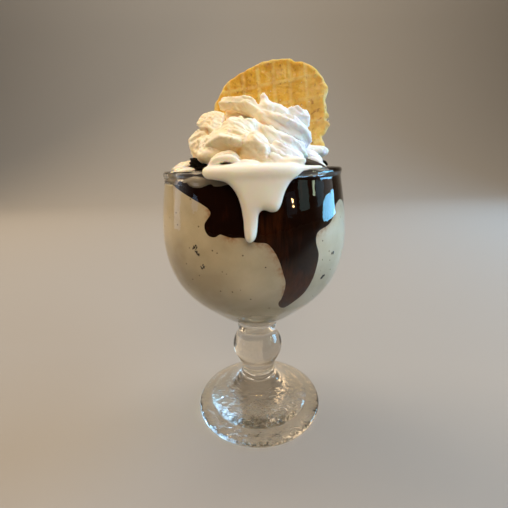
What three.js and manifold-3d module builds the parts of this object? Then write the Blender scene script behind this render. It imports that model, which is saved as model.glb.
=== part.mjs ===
// An ice cream sundae served in a thick pressed-glass goblet.
// Millimetres, +Z up, the origin on the flat underside of the foot, -Y is the front of the sundae.
// Nodes: glass, ice_cream, hot_fudge, whipped_cream and waffle.

import * as THREE from 'three';
import { mergeVertices } from 'three/addons/utils/BufferGeometryUtils.js';
import Module from 'manifold-3d';

const wasm = await Module();
wasm.setup();

// ---------------------------------------------------------------- driving dimensions

const GOBLET_HEIGHT = 173;
const FOOT_RADIUS = 45.5;
const BOWL_RADIUS = 57.5;
const LIP_RADIUS = 2.25;
const LIP_CENTRE = new THREE.Vector2(52.15, GOBLET_HEIGHT - LIP_RADIUS);
const WALL_FLOOR = 79;

const GAP = 0.3;
const TURNED_SIDES = 36;
const FUDGE_SIDES = 72;

const FILL_EDGE = 163.5;
const FILL_RISE = 13;
const FILL_POWER = 5;
const FUDGE_WALL = 2.4;
const FUDGE_TOP = 2.8;

const WAFFLE_CORE = 4.2;
const WAFFLE_RIB_HEIGHT = 1.1;
const WAFFLE_RIB_WIDTH = 1.5;
const WAFFLE_CELL_WIDTH = 10.4;
const WAFFLE_CELL_HEIGHT = 13.8;
const WAFFLE_CENTRE = [16, 24, 197.5];
const WAFFLE_LEAN = 10;
const WAFFLE_YAW = -12;
const WAFFLE_GRID_TURN = 6;
// The waffle's edge: how far it is from this middle at every ten degrees, from its right side round.
// It is round, with a bite out of its right side.
const WAFFLE_MIDDLE = new THREE.Vector2(-2, 5.3);
const WAFFLE_RADII = [
  36.6, 36.7, 37.8, 41.4, 41.8, 42.2, 41.5, 40.4, 39.9, 39.4, 39, 38.4, 38.7, 40, 41.5, 41.4, 42.4, 42.2,
  42, 41.9, 41.7, 41.4, 41.3, 41.1, 41, 41, 41, 41, 41.3, 41.7, 42.2, 42.5, 42.5, 40.8, 36.1, 37.7,
];

// ---------------------------------------------------------------- small maths

const radians = THREE.MathUtils.degToRad;
const blend = THREE.MathUtils.smoothstep;

/** Shortest signed difference between two bearings, in degrees. */
function bearingGap(a, b) {
  return ((a - b + 540) % 360) - 180;
}

/** A point at a bearing round the goblet's axis: 0 is the front (-Y), 90 is the right (+X). */
function around(bearing, radius, z) {
  const angle = radians(bearing);
  return [radius * Math.sin(angle), -radius * Math.cos(angle), z];
}

// ---------------------------------------------------------------- solids

/** Builds a geometry from points and triangles, turned so that its faces point out. */
function closedGeometry(points, triangles) {
  const geometry = new THREE.BufferGeometry();
  geometry.setAttribute('position', new THREE.Float32BufferAttribute(points.flat(), 3));
  geometry.setIndex(triangles.flat());
  if (signedVolume(geometry) < 0) {
    geometry.setIndex(triangles.map(([a, b, c]) => [a, c, b]).flat());
  }
  return geometry;
}

/** Six times the enclosed volume is the sum of each triangle's triple product. */
function signedVolume(geometry) {
  const position = geometry.getAttribute('position');
  const index = geometry.getIndex();
  const corner = [new THREE.Vector3(), new THREE.Vector3(), new THREE.Vector3()];
  let sum = 0;
  for (let i = 0; i < index.count; i += 3) {
    corner.forEach((vector, k) => vector.fromBufferAttribute(position, index.getX(i + k)));
    sum += corner[0].dot(corner[1].clone().cross(corner[2]));
  }
  return sum / 6;
}

/**
 * A closed skin round the goblet's axis: ringPoint(bearing, row) gives each point, and the
 * first and last rows are single points on the axis.
 */
function ringSolid(ringPoint, sides, rows) {
  const points = [ringPoint(0, 0)];
  for (let row = 1; row < rows - 1; row += 1) {
    for (let side = 0; side < sides; side += 1) {
      points.push(ringPoint((360 * side) / sides, row));
    }
  }
  points.push(ringPoint(0, rows - 1));
  const last = points.length - 1;
  const at = (row, side) => 1 + (row - 1) * sides + (side % sides);
  const triangles = [];
  for (let side = 0; side < sides; side += 1) {
    triangles.push([0, at(1, side), at(1, side + 1)]);
    triangles.push([last, at(rows - 2, side + 1), at(rows - 2, side)]);
    for (let row = 1; row < rows - 2; row += 1) {
      triangles.push([at(row, side), at(row + 1, side), at(row + 1, side + 1)]);
      triangles.push([at(row, side), at(row + 1, side + 1), at(row, side + 1)]);
    }
  }
  return closedGeometry(points, triangles);
}

/** A closed pad: two sheets over the same grid that share their border points. */
function padSolid(topPoint, bottomPoint, columns, rows) {
  const points = [];
  const top = [];
  const bottom = [];
  for (let row = 0; row <= rows; row += 1) {
    for (let column = 0; column <= columns; column += 1) {
      const onBorder = row === 0 || column === 0 || row === rows || column === columns;
      top.push(points.push(topPoint(column / columns, row / rows)) - 1);
      bottom.push(onBorder ? points.length - 1
        : points.push(bottomPoint(column / columns, row / rows)) - 1);
    }
  }
  const triangles = [];
  const at = (column, row) => row * (columns + 1) + column;
  for (let row = 0; row < rows; row += 1) {
    for (let column = 0; column < columns; column += 1) {
      const quad = [at(column, row), at(column + 1, row), at(column + 1, row + 1), at(column, row + 1)];
      const [a, b, c, d] = quad.map((i) => top[i]);
      const [e, f, g, h] = quad.map((i) => bottom[i]);
      triangles.push([a, b, c], [a, c, d], [e, g, f], [e, h, g]);
    }
  }
  return closedGeometry(points, triangles);
}

/** Turns an outline of (radius, z) points about the Z axis. */
function turned(outline, sides) {
  return ringSolid((bearing, row) => around(bearing, outline[row].x, outline[row].y), sides, outline.length);
}

function toManifold(geometry) {
  const bare = geometry.clone();
  bare.deleteAttribute('normal');
  bare.deleteAttribute('uv');
  const merged = mergeVertices(bare, 1e-4);
  return new wasm.Manifold(new wasm.Mesh({
    numProp: 3,
    vertProperties: Float32Array.from(merged.getAttribute('position').array),
    triVerts: Uint32Array.from(merged.getIndex().array),
  }));
}

function fromManifold(manifold) {
  const mesh = manifold.getMesh();
  const geometry = new THREE.BufferGeometry();
  geometry.setAttribute('position', new THREE.BufferAttribute(mesh.vertProperties, mesh.numProp));
  geometry.setIndex(new THREE.BufferAttribute(mesh.triVerts, 1));
  return geometry;
}

// ---------------------------------------------------------------- the goblet

const bowlOutside = new THREE.SplineCurve([
  new THREE.Vector2(14.2, 70.5),
  new THREE.Vector2(19, 73.6),
  new THREE.Vector2(27.5, 79.8),
  new THREE.Vector2(35.8, 87),
  new THREE.Vector2(44.2, 95),
  new THREE.Vector2(51.2, 105),
  new THREE.Vector2(55.4, 116),
  new THREE.Vector2(57.2, 126),
  new THREE.Vector2(BOWL_RADIUS, 136),
  new THREE.Vector2(56.6, 147.5),
  new THREE.Vector2(55.1, 158.5),
  new THREE.Vector2(54.2, 165),
]);

const bowlInside = new THREE.SplineCurve([
  new THREE.Vector2(0, WALL_FLOOR),
  new THREE.Vector2(11, 80.2),
  new THREE.Vector2(21, 84),
  new THREE.Vector2(30.5, 90.5),
  new THREE.Vector2(39.5, 99),
  new THREE.Vector2(46.8, 109),
  new THREE.Vector2(51.2, 119),
  new THREE.Vector2(53.4, 129),
  new THREE.Vector2(53.7, 138),
  new THREE.Vector2(52.8, 148),
  new THREE.Vector2(51.5, 158),
  new THREE.Vector2(50.5, 165),
  new THREE.Vector2(LIP_CENTRE.x - LIP_RADIUS, LIP_CENTRE.y),
]);

/** The radius of a bowl surface at a height, read off the points of its curve. */
function radiusReader(samples) {
  return (z) => {
    const next = samples.findIndex((point) => point.y >= z);
    if (next <= 0) {
      return samples[next === 0 ? 0 : samples.length - 1].x;
    }
    const [low, high] = [samples[next - 1], samples[next]];
    return THREE.MathUtils.mapLinear(z, low.y, high.y, low.x, high.x);
  };
}

const outsidePoints = bowlOutside.getPoints(10);
const insidePoints = bowlInside.getPoints(10);
const insideRadius = radiusReader(insidePoints);
const outsideRadius = radiusReader(outsidePoints);

/** Foot, ringed lower neck, ball knop and collar, from the axis outwards and up to the bowl. */
function footAndStem() {
  const path = new THREE.Path();
  path.moveTo(0, 0);
  path.lineTo(FOOT_RADIUS - 1.8, 0);
  path.absarc(FOOT_RADIUS - 2.2, 2.4, 2.2, radians(-60), radians(70), false);
  path.lineTo(40.5, 6.1);
  path.lineTo(37.2, 7.4);
  path.lineTo(36.4, 6.7);
  path.quadraticCurveTo(34.5, 10.8, 28, 13.4);
  path.quadraticCurveTo(18.5, 17.2, 13.8, 24.6);
  path.lineTo(12.5, 25.4);
  path.lineTo(12.7, 28.4);
  path.lineTo(11.6, 29.4);
  path.lineTo(12.1, 34);
  path.bezierCurveTo(13.5, 40, 17.6, 42.5, 17.7, 49.5);
  path.bezierCurveTo(17.7, 55, 14.6, 58, 13, 62);
  path.lineTo(13.8, 66);
  return path.getPoints(3);
}

/** The lip is a half round between the wall's two faces. */
function lip(steps) {
  return Array.from({ length: steps + 1 }, (unused, step) => {
    const angle = (Math.PI * step) / steps;
    return new THREE.Vector2(
      LIP_CENTRE.x + LIP_RADIUS * Math.cos(angle),
      LIP_CENTRE.y + LIP_RADIUS * Math.sin(angle),
    );
  });
}

function glassGeometry() {
  const outline = [
    ...footAndStem(),
    ...outsidePoints,
    ...lip(4),
    ...[...insidePoints].reverse().slice(1),
  ];
  const clean = outline.filter((point, i) => i === 0 || point.distanceTo(outline[i - 1]) > 0.4);
  return turned(clean, TURNED_SIDES);
}

// ---------------------------------------------------------------- hot fudge

// Each run of fudge down the wall: its bearing, half width and lowest height.
const FUDGE_RUNS = [
  { at: -23, half: 8, low: 144, power: 3 },
  { at: -5, half: 24, low: 140, power: 4 },
  { at: 7, half: 13, low: 136, power: 3 },
  { at: 26.5, half: 11, low: 99, power: 7 },
  { at: 46, half: 16, low: 142, power: 3 },
  { at: 92, half: 20, low: 133, power: 4 },
  { at: 128, half: 10, low: 113, power: 5 },
  { at: 164, half: 15, low: 146, power: 3 },
  { at: -158, half: 9, low: 122, power: 5 },
  { at: -112, half: 18, low: 139, power: 3 },
];
const FUDGE_BAND = 159;
const FUDGE_EDGE = 165.6;

/** The lower edge of the fudge on the wall: the lowest of its band and its runs. */
function fudgeLowEdge(bearing) {
  const slant = 7 * blend(Math.abs(bearingGap(bearing, -62)), 0, 34);
  const heights = FUDGE_RUNS.map((run) => {
    const share = Math.abs(bearingGap(bearing, run.at)) / run.half;
    return run.low + (FUDGE_BAND + 8 - run.low) * Math.min(share, 2) ** run.power;
  });
  return Math.min(FUDGE_EDGE + 1.2 - slant, ...heights);
}

/** The mound under the fudge, as a height over the goblet's axis. */
function moundHeight(radius) {
  return FILL_EDGE + FILL_RISE * (1 - (radius / insideRadius(FILL_EDGE)) ** FILL_POWER);
}

/** Extra fudge in two lumps that show left and right below the whipped cream. */
function fudgeLump(bearing, radius) {
  const right = Math.exp(-((bearingGap(bearing, 78) / 16) ** 2) - ((radius - 43) / 5) ** 2);
  const left = Math.exp(-((bearingGap(bearing, -58) / 13) ** 2) - ((radius - 35) / 6) ** 2);
  return 3.2 * right + 2.4 * left;
}

/**
 * The fudge is a cap over the mound with a skirt of runs down the wall. Its section goes from
 * the axis over the top, down the wall's inside, round its lower edge and back underneath.
 * A positive growth gives the same cap a little larger, to cut its neighbours clear of it.
 */
function fudgeGeometry(growth) {
  const topRadii = [0, 28, 38.5, 44.5];
  const undersideRadii = [44.5, 33, 0];
  const wallShares = [0, 0.4, 1];
  const rows = [];
  topRadii.forEach((radius) => rows.push({ over: true, radius }));
  wallShares.forEach((share) => rows.push({ wall: true, outer: true, share }));
  [...wallShares].reverse().forEach((share) => rows.push({ wall: true, outer: false, share }));
  undersideRadii.forEach((radius) => rows.push({ over: false, radius }));
  const point = (bearing, row) => {
    const section = rows[row];
    if (section.wall) {
      const top = FUDGE_EDGE + (section.outer ? growth : -1.6 - growth);
      const edge = fudgeLowEdge(bearing);
      const low = (section.outer ? Math.min(edge, FUDGE_EDGE - 0.6)
        : Math.min(edge + 0.9, FUDGE_EDGE - 2.2)) - growth;
      const z = THREE.MathUtils.lerp(top, low, section.share);
      const depth = section.outer ? GAP - growth : GAP + FUDGE_WALL + growth;
      return around(bearing, insideRadius(z) - depth, z);
    }
    const mound = moundHeight(section.radius);
    const lift = section.over ? FUDGE_TOP + fudgeLump(bearing, section.radius) + growth : -growth;
    return around(bearing, section.radius, mound + lift);
  };
  return ringSolid(point, FUDGE_SIDES, rows.length);
}

// ---------------------------------------------------------------- ice cream

/** The ice cream fills the bowl up to its mound, before the fudge is cut out of it. */
function fillGeometry() {
  const wallPoints = insidePoints.filter((point) => point.x > 0 && point.y < FILL_EDGE - 2);
  const topRadii = [46, 38, 22];
  const outline = [
    new THREE.Vector2(0, WALL_FLOOR + GAP),
    ...wallPoints.map((point) => new THREE.Vector2(point.x - GAP, point.y + GAP)),
    new THREE.Vector2(insideRadius(FILL_EDGE) - GAP, FILL_EDGE),
    ...topRadii.map((radius) => new THREE.Vector2(radius, moundHeight(radius))),
    new THREE.Vector2(0, moundHeight(0)),
  ];
  return turned(outline, TURNED_SIDES);
}

// ---------------------------------------------------------------- waffle

/** Places a flat-built piece, with its face towards -Y, where the waffle stands. */
function placeWaffle(geometry) {
  const matrix = new THREE.Matrix4()
    .makeTranslation(...WAFFLE_CENTRE)
    .multiply(new THREE.Matrix4().makeRotationZ(radians(WAFFLE_YAW)))
    .multiply(new THREE.Matrix4().makeRotationX(radians(90 - WAFFLE_LEAN)));
  return geometry.applyMatrix4(matrix);
}

/** The waffle's edge, larger all round by a growth. */
function waffleOutline(growth) {
  const points = WAFFLE_RADII.map((radius, step) => {
    const angle = (2 * Math.PI * step) / WAFFLE_RADII.length;
    return new THREE.Vector2(Math.cos(angle), Math.sin(angle))
      .multiplyScalar(radius + growth)
      .add(WAFFLE_MIDDLE);
  });
  return new THREE.Shape(points);
}

/** Straight ribs both ways on both faces, clipped to the waffle's outline. */
function waffleGeometry() {
  const full = WAFFLE_CORE + 2 * WAFFLE_RIB_HEIGHT;
  const slab = (shape, thickness) => {
    const block = new THREE.ExtrudeGeometry(shape, { depth: thickness, bevelEnabled: false });
    return block.translate(0, 0, -thickness / 2);
  };
  let ribs = null;
  const addRib = (width, length, x, y) => {
    const rib = new THREE.BoxGeometry(width, length, full).translate(x, y, 0)
      .rotateZ(radians(WAFFLE_GRID_TURN));
    const solid = toManifold(rib);
    ribs = ribs ? ribs.add(solid) : solid;
  };
  const reach = 3 * Math.max(...WAFFLE_RADII);
  for (let k = -4; k <= 4; k += 1) {
    addRib(WAFFLE_RIB_WIDTH, reach, (k + 0.25) * WAFFLE_CELL_WIDTH, 0);
  }
  for (let k = -3; k <= 3; k += 1) {
    addRib(reach, WAFFLE_RIB_WIDTH, 0, (k + 0.1) * WAFFLE_CELL_HEIGHT);
  }
  const outline = waffleOutline(0);
  const clipped = ribs.intersect(toManifold(slab(outline, full + 2)));
  const whole = clipped.add(toManifold(slab(outline, WAFFLE_CORE)));
  return placeWaffle(fromManifold(whole));
}

/** A plain slab a gap larger than the waffle, which cuts its slot in what holds it. */
function waffleSlot() {
  const thickness = WAFFLE_CORE + 2 * WAFFLE_RIB_HEIGHT + 2 * GAP;
  const block = new THREE.ExtrudeGeometry(waffleOutline(GAP), { depth: thickness, bevelEnabled: false });
  return toManifold(placeWaffle(block.translate(0, 0, -thickness / 2)));
}

// ---------------------------------------------------------------- whipped cream

// The pile's sections from its underside up: height, half width, half depth to the front and
// to the back, and how far the section's middle stands to the right.
const PILE_SECTIONS = [
  { z: 176.5, wide: 31, front: 28, back: 19, shift: -1 },
  { z: 181, wide: 36, front: 34, back: 21, shift: -1 },
  { z: 186, wide: 34.5, front: 33.5, back: 20, shift: -1.5 },
  { z: 190.5, wide: 37.5, front: 30, back: 21, shift: -0.5 },
  { z: 195, wide: 33, front: 24, back: 20, shift: 0.5 },
  { z: 200, wide: 34, front: 20, back: 20, shift: 1 },
  { z: 204.5, wide: 28, front: 16, back: 17, shift: 3 },
];
const PILE_CAP_SHARES = [0.82, 0.6, 0.38, 0.18, 0];
const PILE_CAP_BASE = 203.5;
// The rounded tops on the pile: place, radius and rise.
const PILE_TOPS = [
  { x: -14, y: -2, radius: 9, rise: 9 },
  { x: -4, y: 0, radius: 7, rise: 6 },
  { x: 8, y: 0, radius: 6, rise: 8 },
  { x: 29, y: 0, radius: 7, rise: 3.5 },
];
const PILE_RIDGES = 7;
const PILE_RELIEF = 0.07;

/** The height of the pile's top, a low crown with rounded tops on it. */
function pileTop(x, y) {
  return PILE_TOPS.reduce((height, { x: atX, y: atY, radius, rise }) => {
    const distance = Math.hypot(x - atX, y - atY) / radius;
    return height + rise * Math.exp(-(distance ** 2));
  }, PILE_CAP_BASE);
}

/** The pile: tiers of slanting ridges below, and a crown with rounded tops. */
function creamPile() {
  const rows = [null, ...PILE_SECTIONS, ...PILE_CAP_SHARES];
  const last = PILE_SECTIONS[PILE_SECTIONS.length - 1];
  const spread = (bearing, section, share) => {
    const angle = radians(bearing);
    const depth = Math.cos(angle) > 0 ? section.front : section.back;
    const ridge = 1 + PILE_RELIEF * Math.cos(PILE_RIDGES * angle + section.z / 5);
    return [
      section.shift + share * ridge * section.wide * Math.sin(angle),
      -share * ridge * depth * Math.cos(angle),
    ];
  };
  const point = (bearing, row) => {
    if (row === 0) {
      return [0, 0, PILE_SECTIONS[0].z];
    }
    if (row <= PILE_SECTIONS.length) {
      return [...spread(bearing, rows[row], 1), rows[row].z];
    }
    const [x, y] = spread(bearing, last, rows[row]);
    return [x, y, pileTop(x, y)];
  };
  return ringSolid(point, 32, rows.length);
}

/** The sharp peak pulled up where the nozzle left the cream. */
function creamPeak() {
  const outline = [[0, 202], [6, 204], [3.6, 209], [1.2, 213.2], [0, 215]];
  const points = outline.map(([radius, z]) => new THREE.Vector2(radius, z));
  return turned(points, 10).translate(8, 0, 0);
}

// Soft lumps beside the pile: centre, half sizes and tilt about Y.
const CREAM_LUMPS = [
  { centre: [-42, 2, 174.3], half: [10, 20, 4.6], tilt: -18 },
  { centre: [42, 8, 182], half: [9, 8, 3.8], tilt: 0 },
  { centre: [36, -2, 177.5], half: [8.5, 7, 4.5], tilt: 30 },
];

function creamLump({ centre, half, tilt }) {
  const ball = new THREE.SphereGeometry(1, 12, 7).rotateX(Math.PI / 2);
  return ball.scale(...half).rotateY(radians(tilt)).translate(...centre);
}

// The sheet of melted cream over the front lip: bearing of each place and its lowest height.
const DRIP_EDGE = [
  { at: -24, low: 172.6 },
  { at: -17, low: 169.4 },
  { at: -11.5, low: 166 },
  { at: -8, low: 161 },
  { at: -6, low: 152 },
  { at: -4.4, low: 141 },
  { at: -2, low: 138.6 },
  { at: 0.4, low: 141.5 },
  { at: 2.2, low: 152.6 },
  { at: 5, low: 154.8 },
  { at: 8.5, low: 153.2 },
  { at: 12.5, low: 154.8 },
  { at: 15, low: 160 },
  { at: 18, low: 166 },
  { at: 23, low: 170.4 },
  { at: 34, low: 172.6 },
  { at: 42, low: 173.2 },
];
const DRIP_THICKNESS = 2.9;
// Shares of the way along a section: over the mound, round the lip, and down the outside.
const DRIP_ROOT_END = 0.36;
const DRIP_LIP_END = 0.6;
const DRIP_STATIONS = [0, 0.2, DRIP_ROOT_END, 0.44, 0.52, DRIP_LIP_END, 0.73, 0.88, 1];

/** The bearing and lowest height of the sheet at a share of the way along its listed places. */
function dripPlace(u) {
  const place = u * (DRIP_EDGE.length - 1);
  const before = DRIP_EDGE[Math.floor(place)];
  const after = DRIP_EDGE[Math.ceil(place)];
  const part = place % 1;
  return {
    bearing: THREE.MathUtils.lerp(before.at, after.at, part),
    low: THREE.MathUtils.lerp(before.low, after.low, part),
  };
}

/** A section of the sheet from its root over the mound, over the lip and down the outside. */
function dripSection({ bearing, low }, share, lift) {
  const off = GAP + lift;
  if (share < DRIP_ROOT_END) {
    const along = share / DRIP_ROOT_END;
    const radius = THREE.MathUtils.lerp(24, LIP_CENTRE.x - 1.5, along);
    const z = THREE.MathUtils.lerp(181, GOBLET_HEIGHT, blend(along, 0, 1));
    return around(bearing, radius, z + off);
  }
  if (share <= DRIP_LIP_END) {
    const turn = (share - DRIP_ROOT_END) / (DRIP_LIP_END - DRIP_ROOT_END);
    const angle = radians(THREE.MathUtils.lerp(105, 5, turn));
    const reach = LIP_RADIUS + off;
    return around(bearing, LIP_CENTRE.x + reach * Math.cos(angle), LIP_CENTRE.y + reach * Math.sin(angle));
  }
  const down = (share - DRIP_LIP_END) / (1 - DRIP_LIP_END);
  const start = LIP_CENTRE.y;
  const z = THREE.MathUtils.lerp(start, Math.min(low, start), down);
  return around(bearing, Math.max(outsideRadius(z), LIP_CENTRE.x + LIP_RADIUS) + off, z);
}

function creamSheet() {
  const rows = DRIP_STATIONS.length - 1;
  const station = (v) => DRIP_STATIONS[Math.round(v * rows)];
  const top = (u, v) => {
    const round = Math.min(1, 6 * u, 6 * (1 - u)) * Math.min(1, 8 * (1 - station(v)));
    return dripSection(dripPlace(u), station(v), DRIP_THICKNESS * round);
  };
  const bottom = (u, v) => dripSection(dripPlace(u), station(v), 0);
  return padSolid(top, bottom, DRIP_EDGE.length - 1, rows);
}

// ---------------------------------------------------------------- fitting the pieces together

const slot = waffleSlot();
const fudgeRoom = toManifold(fudgeGeometry(GAP));
const fudge = toManifold(fudgeGeometry(0)).subtract(slot);
const iceCream = toManifold(fillGeometry()).subtract(fudgeRoom).subtract(slot);

// The room for the pile: inside the lip, and anywhere above it.
const mouthRadius = LIP_CENTRE.x - LIP_RADIUS - 2 * GAP;
const pileRoom = toManifold(turned([
  new THREE.Vector2(0, GOBLET_HEIGHT / 2),
  new THREE.Vector2(mouthRadius, GOBLET_HEIGHT / 2),
  new THREE.Vector2(mouthRadius, GOBLET_HEIGHT + GAP),
  new THREE.Vector2(GOBLET_HEIGHT, GOBLET_HEIGHT + GAP),
  new THREE.Vector2(GOBLET_HEIGHT, 2 * GOBLET_HEIGHT),
  new THREE.Vector2(0, 2 * GOBLET_HEIGHT),
], TURNED_SIDES));
const pile = CREAM_LUMPS.map((lump) => toManifold(creamLump(lump)))
  .reduce((sum, lump) => sum.add(lump), toManifold(creamPile()))
  .add(toManifold(creamPeak()))
  .intersect(pileRoom);
const cream = pile.add(toManifold(creamSheet())).subtract(fudgeRoom).subtract(slot);

/** Keeps the largest body of a cut piece, without the crumbs that a cut leaves loose. */
function largestBody(manifold) {
  const bodies = manifold.decompose();
  return bodies.reduce((best, body) => (body.volume() > best.volume() ? body : best));
}

// ---------------------------------------------------------------- the scene graph

const FINISHES = {
  glass: { color: 0xdfe7e6, roughness: 0.03, metalness: 0 },
  ice_cream: { color: 0xd9cbaa, roughness: 0.55, metalness: 0 },
  hot_fudge: { color: 0x1f0d07, roughness: 0.18, metalness: 0 },
  whipped_cream: { color: 0xf4ead2, roughness: 0.5, metalness: 0 },
  waffle: { color: 0xcf9a3c, roughness: 0.4, metalness: 0 },
};

const GEOMETRIES = {
  glass: glassGeometry(),
  ice_cream: fromManifold(largestBody(iceCream)),
  hot_fudge: fromManifold(largestBody(fudge)),
  whipped_cream: fromManifold(largestBody(cream)),
  waffle: waffleGeometry(),
};

const group = new THREE.Group();
Object.entries(GEOMETRIES).forEach(([name, geometry]) => {
  const mesh = new THREE.Mesh(geometry, new THREE.MeshStandardMaterial(FINISHES[name]));
  mesh.name = name;
  group.add(mesh);
});

export default group;
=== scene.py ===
"""An ice cream sundae in a pressed glass goblet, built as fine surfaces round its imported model.

Lengths inside the shape functions are millimetres. Bearings are degrees round the goblet's axis,
with 0 at the front (-Y) and 90 at the right (+X).
"""

import math

import bpy
import numpy as np
from mathutils import Matrix, Vector


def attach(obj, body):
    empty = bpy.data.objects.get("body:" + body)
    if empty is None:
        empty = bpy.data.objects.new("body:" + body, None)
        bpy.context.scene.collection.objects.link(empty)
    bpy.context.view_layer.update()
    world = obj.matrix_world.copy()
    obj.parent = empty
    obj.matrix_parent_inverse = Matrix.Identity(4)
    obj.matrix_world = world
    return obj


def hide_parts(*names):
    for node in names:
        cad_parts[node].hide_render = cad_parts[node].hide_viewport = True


bl_info = {
    "name": "Sundae in a Goblet",
    "version": (1, 0, 0),
    "blender": (4, 5, 0),
    "location": "View3D > Sidebar > Sundae",
    "description": "Makes a goblet, ice cream, hot fudge, whipped cream and a waffle",
    "category": "Add Mesh",
}

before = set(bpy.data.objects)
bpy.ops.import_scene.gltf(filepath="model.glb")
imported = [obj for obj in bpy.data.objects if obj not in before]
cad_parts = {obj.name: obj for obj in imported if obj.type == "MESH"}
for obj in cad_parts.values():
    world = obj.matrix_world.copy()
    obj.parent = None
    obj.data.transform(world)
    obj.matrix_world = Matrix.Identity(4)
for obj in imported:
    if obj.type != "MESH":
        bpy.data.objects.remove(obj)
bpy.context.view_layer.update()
MM = 0.001
BODY = "root"


def linear(code):
    """The linear red, green, blue and alpha of an sRGB hex colour."""
    shares = [int(code[i : i + 2], 16) / 255 for i in (1, 3, 5)]
    return [c / 12.92 if c <= 0.04045 else ((c + 0.055) / 1.055) ** 2.4 for c in shares] + [1.0]


# --- sizes and colours


def size_setting(name, description, size):
    """A setting for a length, whose default is given in millimetres."""
    return bpy.props.FloatProperty(name=name, description=description, default=size * MM, unit="LENGTH")


def power_setting(name, description, watts):
    """A setting for the power of a light."""
    return bpy.props.FloatProperty(name=name, description=description, default=watts, min=0, unit="POWER")


def colour_setting(name, description, code):
    """A setting for a colour, whose default is given as an sRGB hex colour."""
    return bpy.props.FloatVectorProperty(
        name=name, description=description, subtype="COLOR", size=4, default=linear(code), min=0, max=1
    )


class GobletSettings(bpy.types.PropertyGroup):
    """Sizes and colour of the goblet."""

    sides: bpy.props.IntProperty(
        name="Sides", description="Facets round the goblet", default=160, min=24
    )
    waviness: size_setting("Waviness", "Height of the mould's soft waves", 0.05)
    tint: colour_setting("Tint", "Colour of the thin wall", "#FAFBF8")
    deep_tint: colour_setting("Deep tint", "Colour of the thick stem and foot", "#D8D1C5")


class FillingSettings(bpy.types.PropertyGroup):
    """Sizes and colours of the ice cream and the hot fudge."""

    reach: size_setting("Reach", "How far the filling reaches into the glass wall", 0.06)
    vanilla: colour_setting("Vanilla", "Colour of the ice cream", "#C6BCA4")
    vanilla_shade: colour_setting("Vanilla shade", "Darker streaks of the ice cream", "#ADA189")
    stain: colour_setting("Stain", "Ice cream stained at the edge of the fudge", "#8A5424")
    fudge: colour_setting("Fudge", "Colour of thick hot fudge", "#160803")
    fudge_thin: colour_setting("Thin fudge", "Colour of hot fudge where it runs thin", "#4C230C")
    fudge_wall: size_setting("Fudge thickness", "Thickness of the fudge on the wall", 2.4)


class CreamSettings(bpy.types.PropertyGroup):
    """Sizes and colours of the whipped cream."""

    voxel: size_setting("Grain", "Size of the grid that the cream is fused on", 0.6)
    sheet: size_setting("Sheet thickness", "Thickness of the melted sheet", 3.3)
    ivory: colour_setting("Ivory", "Colour of the cream", "#FDF2DA")
    butter: colour_setting("Butter", "Warmer colour in patches", "#FCE7C0")
    # The fold colour is painted shade: a darker buttery tone laid into the hollows, where the folds are
    # shaded.
    fold: colour_setting("Fold", "Buttery colour deep in the folds", "#F0CA82")
    # The film colour is partly a thin film of cream greyed by the fudge behind it, and partly painted shade
    # under the thick lip and the lump above.
    film_and_shade: colour_setting("Film", "Thin cream on the wall, greyed by what is behind", "#8A8378")


class WaffleSettings(bpy.types.PropertyGroup):
    """Sizes and colours of the waffle."""

    rib_height: size_setting("Rib height", "Height of the raised grid", 0.5)
    golden: colour_setting("Golden", "Colour of the baked wafer", "#EEC54E")
    pale: colour_setting("Pale", "Colour of its paler raised parts", "#F2D680")
    caramel: colour_setting("Caramel", "Colour of its browned spots", "#A9662A")


class StageSettings(bpy.types.PropertyGroup):
    """Floor and light."""

    floor: colour_setting("Floor", "Colour of the floor", "#9B948A")
    key: power_setting("Key light", "Power of the overhead light", 21)
    fill: power_setting("Fill light", "Power of the large front light", 26)
    window: power_setting("Window light", "Power of the cool side light", 22)


SETTINGS = {
    "sundae_goblet": GobletSettings,
    "sundae_filling": FillingSettings,
    "sundae_cream": CreamSettings,
    "sundae_waffle": WaffleSettings,
    "sundae_stage": StageSettings,
}

# --- small maths


def smoothstep(low, high, x):
    """A smooth rise from 0 at low to 1 at high: 3 t squared less 2 t cubed."""
    t = np.clip((np.asarray(x, float) - low) / (high - low), 0, 1)
    return t * t * (3 - 2 * t)


def bell(*terms):
    """A bell of height 1: e to the power of less the sum of the squares of (value - middle) / reach."""
    return np.exp(-sum(((value - middle) / reach) ** 2 for value, middle, reach in terms))


def spline(points, steps):
    """A uniform Catmull-Rom curve through the points, with the end points doubled."""
    p = np.asarray(points, float)
    whole = np.linspace(0, len(p) - 1, (len(p) - 1) * steps + 1)
    at = np.minimum(whole.astype(int), len(p) - 2)
    t = (whole - at)[:, None]
    before, a, b, after = (p[np.clip(at + k, 0, len(p) - 1)] for k in (-1, 0, 1, 2))
    start, end = (b - before) / 2, (after - a) / 2
    return (2 * a - 2 * b + start + end) * t**3 + (3 * b - 3 * a - 2 * start - end) * t**2 + start * t + a


def run_length(points):
    """How far along a line each of its points lies."""
    return np.concatenate([[0], np.cumsum(np.linalg.norm(np.diff(points, axis=0), axis=1))])


def evenly(points, count):
    """The same line with a number of points, evenly spaced along its length."""
    p = np.asarray(points, float)
    length = run_length(p)
    place = np.linspace(0, length[-1], count)
    return np.stack([np.interp(place, length, p[:, k]) for k in range(p.shape[1])], axis=1)


def resampled(points, spacing):
    """The same line with points at about a spacing along its length."""
    return evenly(points, max(2, int(round(run_length(points)[-1] / spacing)) + 1))


# Large odd numbers that scramble a cube's place, and how many random values there are.
SCRAMBLE = np.array([73856093, 19349663, 83492791])
VALUES = 4096


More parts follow.
